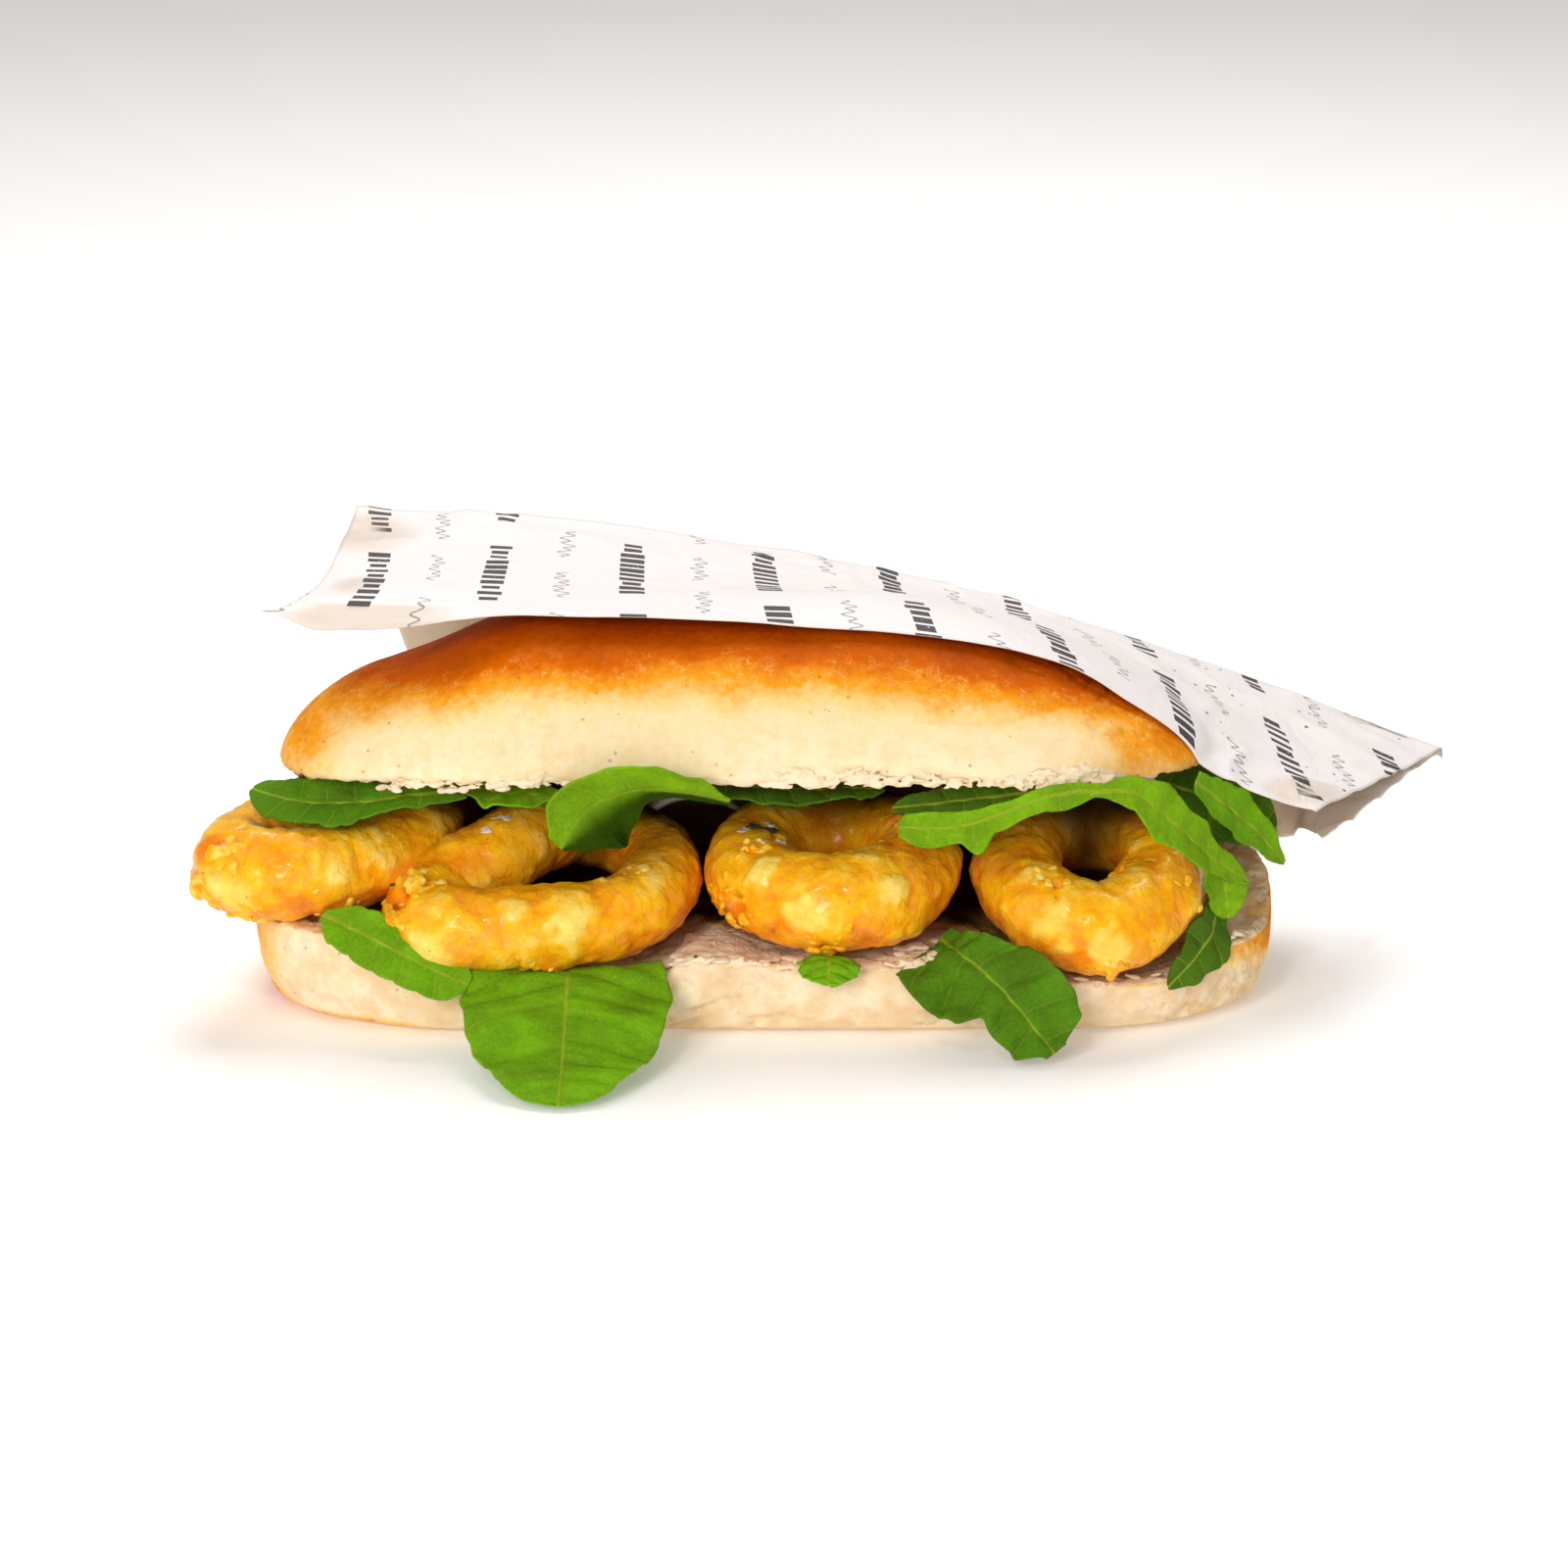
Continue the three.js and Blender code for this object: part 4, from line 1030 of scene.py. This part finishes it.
# ------------------------------------------------------------------------------------------------ rocket
# Each leaf follows its midrib. face is the side that it shows, width its widest half, base the share of
# that where the leaf starts, widest where it is broadest, round how blunt its tip is, cup how far its
# edges turn up, lobes how deep its edge is cut and how often, and green its colour. edges gives the half
# widths along each side in place of that outline, tooth is the length of one tooth of the edge, shaded
# how dark one half is, and puckered how strongly the leaf swells between its veins.
LEAVES = {
    "left_end": dict(
        rib=[(-57, -24, 46.2), (-68, -25, 45.4), (-80, -21, 42.9), (-91, -18, 42.4), (-99.2, -13, 43.2)],
        face=(0, -0.5, 0.86), width=6.8, base=0.35, widest=0.66, round=1, cup=0.06, lobes=(0.06, 3), seed=3,
        green="deep"),
    "roof_left": dict(
        rib=[(-56, -22, 46.2), (-48, -27, 46.4), (-39, -29, 46.8)],
        face=(0, -0.3, 0.95), width=6, round=0.5, cup=0.08, lobes=(0.1, 2), seed=5, green="mid"),
    "curled": dict(
        rib=[(-6.5, -35, 47.8), (-15, -37.4, 50.4), (-25, -38.8, 51), (-33, -39.4, 47.6),
        (-38.2, -39, 39.6)],
        face=(-0.05, -0.92, -0.38), width=9.8, cup=0.3, seed=7, green="light", shaded=1.0, tooth=11,
        edges=([(0, 1), (0.2, 4.6), (0.5, 8.4), (0.8, 8), (0.95, 4), (1, 1)], [(0, 1), (0.3, 1.4),
        (0.4, 2.2), (0.52, 6.5), (0.66, 10.5), (0.8, 9.6), (0.93, 5), (1, 1)])),
    "roof_middle": dict(
        rib=[(-13, -20, 46.4), (4, -24, 46.6), (23, -23, 46.4)],
        face=(0, -0.15, 0.99), width=8.5, round=0.5, cup=0.03, lobes=(0.08, 4), seed=9, green="dark"),
    "dark": dict(
        rib=[(52, -24.5, 46), (42, -27, 45.6), (33, -28.5, 45), (24.5, -30, 44.6)],
        face=(0, -0.62, 0.78), width=4.4, round=0.6, cup=0.1, lobes=(0.12, 4), seed=13, green="dark"),
    "across": dict(
        rib=[(64.5, -33.6, 49.6), (54, -35.4, 48.6), (45, -36.4, 45.4), (36, -37, 43), (25.5, -36.8, 42.8)],
        face=(0.05, -0.8, 0.6), width=4.6, cup=0.12, seed=15, green="light",
        edges=([(0, 1.2), (0.2, 2.2), (0.4, 2.0), (0.6, 2.6), (0.86, 3.4), (0.96, 2.8), (1, 1.2)],
        [(0, 1.2), (0.22, 3.4), (0.4, 2.6), (0.55, 3.2), (0.66, 6.6), (0.73, 3.6), (0.9, 4.2), (1, 1.8)]),
        tooth=8),
    "right_long": dict(
        rib=[(61.5, -38.4, 50.4), (69, -37, 50), (77.5, -33.6, 43), (85.5, -28.5, 34.5), (93.5, -23, 27.5)],
        face=(0.4, -0.75, 0.53), width=6.2, base=0.2, widest=0.36, round=0.1, cup=0.12, lobes=(0.2, 4),
        seed=17, green="light", tooth=9),
    "right_lobe": dict(
        rib=[(86.4, -23.5, 33.5), (88.8, -24, 27.5), (89.6, -22.6, 20.2)],
        face=(0.4, -0.9, 0.2), width=5, base=0.6, round=0.8, cup=0.1, lobes=(0.1, 2), seed=19,
        green="light"),
    "right_tip": dict(
        rib=[(83, -20, 46.8), (88.5, -16, 41.5), (95, -11, 35), (102, -6, 26)],
        face=(0.45, -0.75, 0.5), width=5.6, round=0.1, cup=0.14, lobes=(0.12, 3), seed=21, green="mid"),
    "right_back": dict(
        rib=[(76.5, -4, 42), (85, -4, 39.6), (94, -3, 35.6), (101, 0, 31)],
        face=(0.2, -0.8, 0.6), width=9.6, base=0.8, round=0.6, cup=0.08, lobes=(0.1, 3), seed=25,
        green="dark"),
    "over_rim": dict(
        rib=[(87.6, -20, 22.5), (86.4, -26.4, 18.8), (82.6, -31.4, 15.2), (77.4, -35, 10.6)],
        face=(0.66, -0.7, 0.2), width=6.4, round=0.4, cup=0.12, lobes=(0.14, 3), seed=27, green="dark"),
    "front_right": dict(
        rib=[(34.2, -27, 17.2), (37, -36.5, 18), (43, -42.4, 15), (49.5, -46.6, 8.8), (55, -50.5, 2.6)],
        face=(-0.1, -0.8, 0.6), width=13.2, cup=0.1, seed=29, green="wet", tooth=8, puckered=2.2,
        edges=([(0, 8), (0.2, 12), (0.4, 13.2), (0.56, 11.4), (0.64, 7.2), (0.74, 7.6), (0.9, 7), (1, 2)],
        [(0, 3), (0.2, 4.6), (0.4, 7), (0.6, 10.2), (0.8, 10.6), (0.92, 8.6), (1, 3)])),
    "small_front": dict(
        rib=[(12.6, -35.6, 16.5), (12.5, -39, 16.6), (12.3, -43.4, 13.6)],
        face=(0, -0.5, 0.86), width=6.4, round=0.8, cup=-0.06, lobes=(0.05, 2), seed=31, green="mid"),
    "front_left": dict(
        rib=[(-37.3, -35.4, 13.8), (-37.3, -39.6, 14), (-37.3, -46, 11.6), (-37.5, -60, 5),
        (-37.7, -74.5, 1.2)],
        face=(0, -0.5, 0.86), width=20.4, base=0.9, widest=0.25, round=0.75, cup=0.02, lobes=(0.02, 5),
        seed=33, green="mid", tooth=7.5),
    "front_lobe": dict(
        rib=[(-84.5, -30, 23.2), (-76, -35, 20.8), (-66, -39.8, 17.2), (-56, -41.6, 13)],
        face=(0, -0.76, 0.64), width=7, cup=0.06, seed=35, green="mid", tooth=5,
        edges=([(0, 1.5), (0.15, 5), (0.4, 6), (0.7, 6), (0.9, 5), (1, 2)], [(0, 1.5), (0.15, 4.6),
        (0.4, 5.6), (0.55, 4.6), (0.75, 5), (0.92, 4.4), (1, 2)])),
    "inside_left": dict(
        rib=[(-46, -12, 15.4), (-34, -14, 15.2), (-22, -9, 15.8)],
        face=(0, 0, 1), width=7, round=0.6, cup=0.1, lobes=(0.1, 3), seed=39, green="dark"),
    "inside_right": dict(
        rib=[(53, -8, 14.6), (62, -12, 14.4), (72, -10, 14.6)],
        face=(0, 0, 1), width=6, round=0.6, cup=0.1, lobes=(0.1, 3), seed=43, green="dark"),
}
LEAF_TIP = 0.5  # least half width


def leaf_half(along, spec, side, size):
    """Half width of a leaf from its base at 0 to its tip at 1, on one side of its midrib."""
    if "edges" in spec:
        body = between(spec["edges"][side > 0], along) / spec["width"]
    else:
        base, widest = spec.get("base", 0.5), spec.get("widest", 0.42)
        depth, count = spec["lobes"]
        past = min(1.0, max(0.0, (along - widest) / (1 - widest)))
        if along < widest:
            body = blend(base, 1, ease(along, 0, widest))
        else:
            body = blend(1 - past, math.sqrt(1 - past ** 2), 0.5 + spec["round"] / 2)
        body *= 1 - depth * (0.5 + 0.5 * math.cos(TURN * (along * count + 0.06 * side)))
    half = spec["width"] * body
    wander = along * size / spec.get("tooth", 4.2)
    wander += 0.35 * noise.noise(Vector((along * 5, side, spec["seed"])))
    tooth = 1 - abs(math.sin(math.pi * (wander + (0.3 if side > 0 else 0))))
    depth = min(0.07, 0.4 / max(1.0, half)) * (1.1 + noise.noise(Vector((wander, side * 5, 2))))
    return max(LEAF_TIP, half * (1 - depth * tooth ** 2))


def grow_leaf(name, spec, material):
    rocket = settings("rocket")
    width, seed = spec["width"], spec["seed"]
    shaded, puckered = spec.get("shaded", 0.0), spec.get("puckered", 1.0)
    size = sum((Vector(b) - Vector(a)).length for a, b in zip(spec["rib"], spec["rib"][1:]))
    steps, across_steps = max(60, min(130, round(size * 2.8))), max(24, min(64, round(width * 4)))
    veins = max(4, round(size / 6))
    rib = curve(spec["rib"], steps)
    facing = Vector(spec["face"]).normalized()
    form = bmesh.new()
    bmesh.ops.create_grid(form, x_segments=steps, y_segments=across_steps, size=0.5)
    layers = vertex_layers(form, LEAF_PARTS)
    for vertex in form.verts:
        along, across = vertex.co.x + 0.5, vertex.co.y * 2
        centre, ahead = rib[min(steps, round(along * steps))]
        lateral = facing.cross(ahead).normalized()
        up = ahead.cross(lateral)
        half = leaf_half(along, spec, 1 if across > 0 else -1, size)
        away = abs(across) * half
        sweep = (along - 0.2 * away / size - 0.5 * (away / size) ** 2) * veins + (0.5 if across > 0 else 0.0)
        between_veins = ease(abs(sweep - round(sweep)), 0, 0.35) * min(1, away / 1.5) - 0.5
        quilt = puckered * rocket.quilting / MM * min(1.0, half / 5) * between_veins
        wave = 0.07 * width * abs(across) * math.sin(TURN * 2.5 * along + seed)
        frill = 0.45 * abs(across) ** 4 * uneven(Vector((along * size, across * 3, seed)), 3.4, 2)
        lift = spec["cup"] * half * across * across + wave * min(1.0, half / width) + quilt + frill
        place = centre + lateral * (across * half) + up * lift
        place += up * 0.35 * puckered * uneven(place, 6, 2, seed) * min(1.0, half / 4)
        vertex.co = place
        vertex[layers["aside"]] = away * (1 + 0.8 * along)
        vertex[layers["sweep"]] = sweep
        vertex[layers["shade"]] = shaded * ease(across, -0.3, 0.5)
    smooth_normals(form)
    thicken(form, -rocket.thickness / MM, facing, layers["underside"])
    for vertex in form.verts:
        vertex.co.z = max(vertex.co.z, 0.3)
    smooth_normals(form)
    finished("leaf_" + name, form, material, ["rocket_leaf_" + name])


# ------------------------------------------------------------------------------------------------- onion
ONION_PATH = [(-23.5, 8, 27.6), (-22.5, 9.4, 32.2), (-17, 10.6, 35), (-9.5, 11, 34.6), (-5, 12, 31.6)]
ONION_WIDE, ONION_THICK = 5.4, 2.2


def slice_onion():
    steps = 60
    path = curve(ONION_PATH, steps)
    form = bmesh.new()
    bmesh.ops.create_uvsphere(form, u_segments=28, v_segments=steps, radius=1)
    for vertex in form.verts:
        polar = math.acos(max(-1, min(1, vertex.co.z))) / math.pi
        angle = math.atan2(vertex.co.y, vertex.co.x)
        centre, ahead = path[min(steps, round(polar * steps))]
        across = Vector((0, 1, 0)).cross(ahead).normalized()
        flat = ahead.cross(across)
        full = math.sin(math.pi * polar) ** 0.25
        shift = 0.2 * uneven(centre, 5, 2, 3.3)
        vertex.co = (centre + across * (math.cos(angle) * ONION_THICK / 2 * full + shift)
                     + flat * (math.sin(angle) * ONION_WIDE / 2 * full))
    smooth_normals(form)
    finish = moist_finish("Raw onion", tone(236, 226, 218), tone(208, 196, 184), 0.25)
    finished("onion_slice", form, finish, ["onion_strip"])


# ------------------------------------------------------------------------------------------ sauce, herbs
# Smears of sauce: middle, and how far they spread along, across and up. Those with no height lie on the
# lower cut face.
SAUCE = [((-57, -32.2, 48.9), (3.6, 0.8, 0.5), 5), ((-49.5, -32, 49.2), (3.0, 0.8, 0.4), 4),
         ((-71, -29.6, 48.4), (3.0, 0.8, 0.4), 4), ((-33, -33.5, 49.6), (3.0, 0.5, 0.4), 4),
         ((-9, -34.0, None), (8, 2.4, 0), 22), ((5, -31, None), (6, 3, 0), 12),
         ((38, -32, None), (7, 3, 0), 16), ((29, -27, None), (5, 3, 0), 8), ((-80, -24, None), (6, 3, 0), 8)]
# Flat dabs of it on the rings, and how wide each is.
DABS = [("calamari_3", (1.2, -15.5, 39), 1.7), ("calamari_3", (-4.4, -19, 37), 1.5),
        ("calamari_3", (4.4, -21.5, 38), 1.5), ("calamari_3", (-1, -25.5, 36), 2.2),
        ("calamari_2", (-50, -15, 39), 2.0), ("calamari_2", (-54, -17.5, 36), 1.3),
        ("calamari_3", (13, -24, 37), 0.8)]


SAUCE_VOXEL, DAB_LUMPS = 0.28, 9


def spoon_sauce():
    draw = random.Random(5)
    form = bmesh.new()
    for (x, y, z), spread, count in SAUCE:
        on_cut_face = z is None
        for _ in range(count):
            centre = [at + draw.gauss(0, 0.5) * wide for at, wide in zip((x, y, z or 0), spread)]
            if on_cut_face:
                centre[2] = floor_height(centre[0], centre[1]) - 0.1
            size = draw.uniform(0.9, 1.5) if on_cut_face else draw.uniform(0.55, 1.0)
            stretch = draw.uniform(1.0, 2.0), draw.uniform(0.8, 1.3), 0.42 if on_cut_face else 0.7
            add_lump(form, size, stretch, centre, spin=draw.uniform(-0.6, 0.6))
    for name, centre, wide in DABS:
        surface = ring_surface(name)
        for _ in range(DAB_LUMPS):
            aside = Vector((draw.gauss(0, 0.55), draw.gauss(0, 0.4), 0)) * wide
            spot, normal = nearest_on(surface, Vector(centre) + aside)
            add_lump(form, draw.uniform(0.5, 0.85), (draw.uniform(0.9, 1.6), 0.8, 0.36), spot, normal,
                     draw.uniform(-0.6, 0.6))
    skin = remeshed(form, SAUCE_VOXEL)
    roughen(skin, 0.22, 1.6, 3, 2.0)
    soften(skin, 3)
    smooth_normals(skin)
    finish = moist_finish("Mayonnaise sauce", tone(248, 228, 206), tone(232, 200, 170), 0.3)
    finished("sauce", skin, finish)


# Dark needles of herb: start and end, all on the third ring. The flecks lie elsewhere.
SPRIG = [((-3.4, -19, 38.0), (0.2, -19.4, 37.2)), ((0.2, -19.4, 37.2), (3.6, -18.4, 38.6)),
         ((-2.6, -18, 38.4), (-0.4, -19.6, 37.2)), ((1.4, -19.4, 37.6), (2.6, -20.4, 37.4))]
FLECKS = [(-12.8, -36.6, 17.0), (-70.5, -33, 30.5), (62, -38, 27)]
NEEDLE_STEPS = 6


def lay_dill():
    """A sprig of dark herb on the third ring, and loose flecks of it."""
    draw = random.Random(7)
    form = bmesh.new()

    def needle(start, end, thick):
        for step in range(NEEDLE_STEPS + 1):
            place = Vector(start).lerp(Vector(end), step / NEEDLE_STEPS)
            bulge = thick * (1 - 0.5 * abs(2 * step / NEEDLE_STEPS - 0.8))
            add_lump(form, bulge, (1.6, 1, 1), place + Vector((0, 0, 0.15 * math.sin(step * 2.1))))

    surface = ring_surface("calamari_3")
    for start, end in SPRIG:
        low, high = (nearest_on(surface, place) for place in (start, end))
        needle(low[0] + low[1] * 0.5, high[0] + high[1] * 0.6, 0.36)
    for fleck in FLECKS:
        reach = Vector((draw.uniform(-0.8, 0.8), draw.uniform(-0.3, 0.3), draw.uniform(-0.7, 0.7)))
        needle(fleck, Vector(fleck) + reach, 0.26)
    smooth_normals(form)
    finished("dill", form, moist_finish("Dill", tone(28, 56, 16), tone(12, 32, 8), 0.4))


# ------------------------------------------------------------------------------------------------ sleeve
SLEEVE_FRONT = [(-96, -14, 79.4), (-40, -14, 78.4), (2, -14, 76.6), (48, -14, 71.2), (64, -14, 65.6),
                (78, -14, 54), (90, -14, 45.6), (107, -14, 38.6)]
SLEEVE_CREASE = [(-83, 44, 85.5), (-32, 44, 82.6), (24, 44, 72.6), (78, 44, 57.6), (140, 44, 34.6)]
SLEEVE_HEM = [(-65, 47, 28), (0, 46.5, 24), (70, 46, 17), (104, 32, 19), (108, 10, 28), (109, -11, 33)]
SLEEVE_REST, SLEEVE_HOLLOW, SLEEVE_CURL = 1.7, 6, 3.6
FLAP_SHARE = 0.54  # of the sheet's width that lies on the roll
SHEET_LONG, SHEET_WIDE, FLAP_WIDE, PRINT_SLANT = 232, 110, 60, 58  # of the flat sheet
GREASE_SPOTS = [((6, 44, 0), 17), ((10, 14, 0), 9), ((224, 8, 0), 12)]  # (place on the sheet, size)


def soft_max(a, b, rounding):
    return (a + b + math.hypot(a - b, rounding)) / 2


def beside_corner(u):
    """How far the flap's front edge is turned down, next to its left corner."""
    return window(u, 0, 0.05, 0.08, 0.24)


def sleeve_place(u, v, lines, steps):
    """Place of the sheet: u along it, and v across it from the flap's front edge to the hem."""
    front, crease, hem = (line[min(steps, round(u * steps))][0] for line in lines)
    if v > FLAP_SHARE:
        return crease.lerp(hem, (v - FLAP_SHARE) / (1 - FLAP_SHARE))
    towards_fold = v / FLAP_SHARE
    place = front.lerp(crease, towards_fold)
    place.x += SLEEVE_HOLLOW * ease(u, 0.2, 0) * math.sin(math.pi * math.sqrt(towards_fold))
    place.z -= SLEEVE_CURL * beside_corner(u) * max(0.0, 1 - towards_fold / 0.09)
    reach = upper_reach(place.x, place.y)
    if reach < 1:
        place.z = soft_max(place.z, crust_height(place.x, place.y, reach) + SLEEVE_REST, 1)
    return place


def fold_sleeve():
    wrap = settings("sleeve")
    steps, across_steps = 240, 100
    lines = [curve(points, steps) for points in (SLEEVE_FRONT, SLEEVE_CREASE, SLEEVE_HEM)]
    form = bmesh.new()
    bmesh.ops.create_grid(form, x_segments=steps, y_segments=across_steps, size=0.5)
    sheet = form.loops.layers.uv.new("sheet")
    layers = vertex_layers(form, PAPER_PARTS)
    flat = {}
    for vertex in form.verts:
        u, v = vertex.co.x + 0.5, vertex.co.y + 0.5
        down = v / FLAP_SHARE
        vertex.co = sleeve_place(u, v, lines, steps)
        slant = blend(0.17, 0.9, u) * down * PRINT_SLANT
        flat[vertex.index] = Vector((u * SHEET_LONG + slant, down * FLAP_WIDE)) * MM
        spots = near_any(Vector((u * SHEET_LONG, v * SHEET_WIDE, 0)), GREASE_SPOTS, core=0.2)
        # Stains in spots and at the sheet's ends; the turned-down strip by the left corner gets painted
        # shade.
        vertex[layers["grease"]] = (0.8 * spots + 0.35 * ease(u, 0.06, 0.0) + 0.3 * ease(u, 0.93, 1.0)
                                    + 1.1 * beside_corner(u) * ease(down, 0.1, 0.07))
    smooth_normals(form)
    for vertex in form.verts:
        x, y, z = vertex.co
        soft = uneven(Vector((x * 0.6, y, z * 0.5)), 20, 3, 5.0)
        sharp = creased(Vector((x * 0.8, y * 1.3, z)), 26, 2, 8.0) ** 2
        loose = ease(upper_reach(x, y), 0.72, 1.1)
        lift = wrap.wrinkle / MM * ((0.35 + 0.9 * loose) * soft + (0.2 + 0.7 * loose) * sharp)
        vertex.co += vertex.normal * lift
    for face in form.faces:
        for loop in face.loops:
            loop[sheet].uv = flat[loop.vert.index]
    thicken(form, wrap.thickness / MM, Vector((0, 0, 1)), layers["inner"])
    smooth_normals(form)
    finished("paper_sleeve", form, sleeve_finish(), ["sleeve"])


# ------------------------------------------------------------------------------------------------- stage
# Lamps: place in metres, size, power and colour. All of them point at LIT.
LIT = Vector((0, 0, 0.03))
LAMPS = {
    "Key": ((-0.45, -1.08, 0.54), 0.55, 7.4, (1.0, 0.985, 0.955)),
    "Fill": ((0.2, -1.25, 0.14), 0.7, 2.0, (1, 1, 1)),
    "Spark": ((-0.25, -0.8, 0.95), 0.07, 1.3, (1, 1, 1)),
    "Back": ((0.1, 0.6, 1.1), 0.9, 10, (1, 1, 1)),
}
CAMERA_TARGET = Vector((3.9, 0, 40.4)) * MM


def hang_lamp(name, place, size, power, colour):
    light = bpy.data.lights.new(name, "AREA")
    light.shape = "DISK"
    light.size = size
    light.energy = power
    light.color = colour
    lamp = placed(name, light)
    lamp.location = place
    lamp.rotation_euler = (LIT - Vector(place)).to_track_quat("-Z", "Y").to_euler()


def set_stage():
    view = settings("stage")
    form = bmesh.new()
    bmesh.ops.create_grid(form, x_segments=8, y_segments=8, size=3)
    data = as_mesh(form, "floor")
    finish = Finish("White table", Roughness=0.7, Specular_IOR_Level=0.2, Emission_Strength=0.17,
                    Emission_Color=(1, 1, 1, 1))
    finish.colour = finish.mix(finish.grain(60, 2), view.floor, scaled(view.floor, 0.985))
    data.materials.append(finish.wear())
    placed("floor", data)
    world = bpy.data.worlds.new("Soft daylight")
    world.use_nodes = True
    world.node_tree.nodes["Background"].inputs["Color"].default_value = (1.0, 0.985, 0.965, 1)
    world.node_tree.nodes["Background"].inputs["Strength"].default_value = 0.35
    scene = bpy.context.scene
    scene.world = world
    scene.view_settings.view_transform = "Standard"
    for name, lamp in LAMPS.items():
        hang_lamp(name, *lamp)
    camera = bpy.data.cameras.new("Camera")
    camera.sensor_width = 36
    camera.sensor_fit = "HORIZONTAL"
    camera.lens = camera.sensor_width * view.distance / view.frame_width
    viewer = placed("Camera", camera)
    away = Vector((0, -math.cos(view.elevation), math.sin(view.elevation))) * view.distance
    viewer.location = CAMERA_TARGET + away
    viewer.rotation_euler = (-away).to_track_quat("-Z", "Y").to_euler()
    scene.camera = viewer


# --------------------------------------------------------------------------------------------- operators
class Step:
    """An operator that takes one step of the recipe, which is its make."""

    def execute(self, context):
        self.make()
        return {"FINISHED"}


class SANDWICH_OT_stage(Step, bpy.types.Operator):
    """Set the pale table, the soft lights and the camera"""
    bl_idname = "sandwich.stage"
    bl_label = "Set the stage"
    make = staticmethod(set_stage)


class SANDWICH_OT_roll(Step, bpy.types.Operator):
    """Bake the hinged roll and tear its crumb"""
    bl_idname = "sandwich.roll"
    bl_label = "Bake the roll"

    def make(self):
        bread = bake_roll()
        tear_edge(bread.data.materials[0])


class SANDWICH_OT_calamari(Step, bpy.types.Operator):
    """Fry the four squid rings"""
    bl_idname = "sandwich.calamari"
    bl_label = "Fry the squid rings"

    def make(self):
        material = batter_finish()
        for name, ring in RINGS.items():
            fry_ring(name, ring, material)
        fry_crisps(material)


class SANDWICH_OT_rocket(Step, bpy.types.Operator):
    """Tuck the rocket leaves in"""
    bl_idname = "sandwich.rocket"
    bl_label = "Add the rocket leaves"

    def make(self):
        rocket = settings("rocket")
        greens = {"mid": rocket_finish("Rocket leaf", rocket.mid),
                  "deep": rocket_finish("Deep green rocket leaf", rocket.deep),
                  "light": rocket_finish("Young rocket leaf", rocket.light),
                  "dark": rocket_finish("Dark rocket leaf", rocket.dark),
                  "wet": rocket_finish("Wet rocket leaf", rocket.deep, 1.0)}
        for name, spec in LEAVES.items():
            grow_leaf(name, spec, greens[spec["green"]])


class SANDWICH_OT_garnish(Step, bpy.types.Operator):
    """Add the onion, the sauce and the dill"""
    bl_idname = "sandwich.garnish"
    bl_label = "Add onion, sauce and dill"

    @classmethod
    def poll(cls, context):
        """The sauce and the dill lie on the fried rings."""
        return all(name + "_batter" in bpy.data.objects for name in RINGS)

    def make(self):
        slice_onion()
        spoon_sauce()
        lay_dill()


class SANDWICH_OT_sleeve(Step, bpy.types.Operator):
    """Fold the printed paper over the roll"""
    bl_idname = "sandwich.sleeve"
    bl_label = "Fold the sleeve"
    make = staticmethod(fold_sleeve)


class SANDWICH_PT_panel(bpy.types.Panel):
    """Sizes, colours and steps of the sandwich"""
    bl_label = "Calamari sandwich"
    bl_idname = "SANDWICH_PT_panel"
    bl_space_type = "VIEW_3D"
    bl_region_type = "UI"
    bl_category = "Sandwich"

    def draw(self, context):
        for operator, group in STEPS.items():
            box = self.layout.box()
            box.operator(operator.bl_idname)
            values = settings(group) if group else None
            for name in getattr(values, "__annotations__", ()):
                box.prop(values, name)


GROUPS = {"roll": RollSettings, "calamari": CalamariSettings, "rocket": RocketSettings,
          "sleeve": SleeveSettings, "stage": StageSettings}
# Each step's operator and its group of settings.
STEPS = {SANDWICH_OT_stage: "stage", SANDWICH_OT_roll: "roll", SANDWICH_OT_calamari: "calamari",
         SANDWICH_OT_rocket: "rocket", SANDWICH_OT_garnish: None, SANDWICH_OT_sleeve: "sleeve"}
CLASSES = [*GROUPS.values(), *STEPS, SANDWICH_PT_panel]


def register():
    for item in CLASSES:
        bpy.utils.register_class(item)
    for name, group in GROUPS.items():
        setattr(bpy.types.Scene, "sandwich_" + name, PointerProperty(type=group))


def unregister():
    for name in GROUPS:
        delattr(bpy.types.Scene, "sandwich_" + name)
    for item in reversed(CLASSES):
        bpy.utils.unregister_class(item)


def main():
    register()
    bpy.ops.sandwich.stage()
    bpy.ops.sandwich.roll()
    bpy.ops.sandwich.calamari()
    bpy.ops.sandwich.rocket()
    bpy.ops.sandwich.garnish()
    bpy.ops.sandwich.sleeve()


if __name__ == "__main__":
    main()
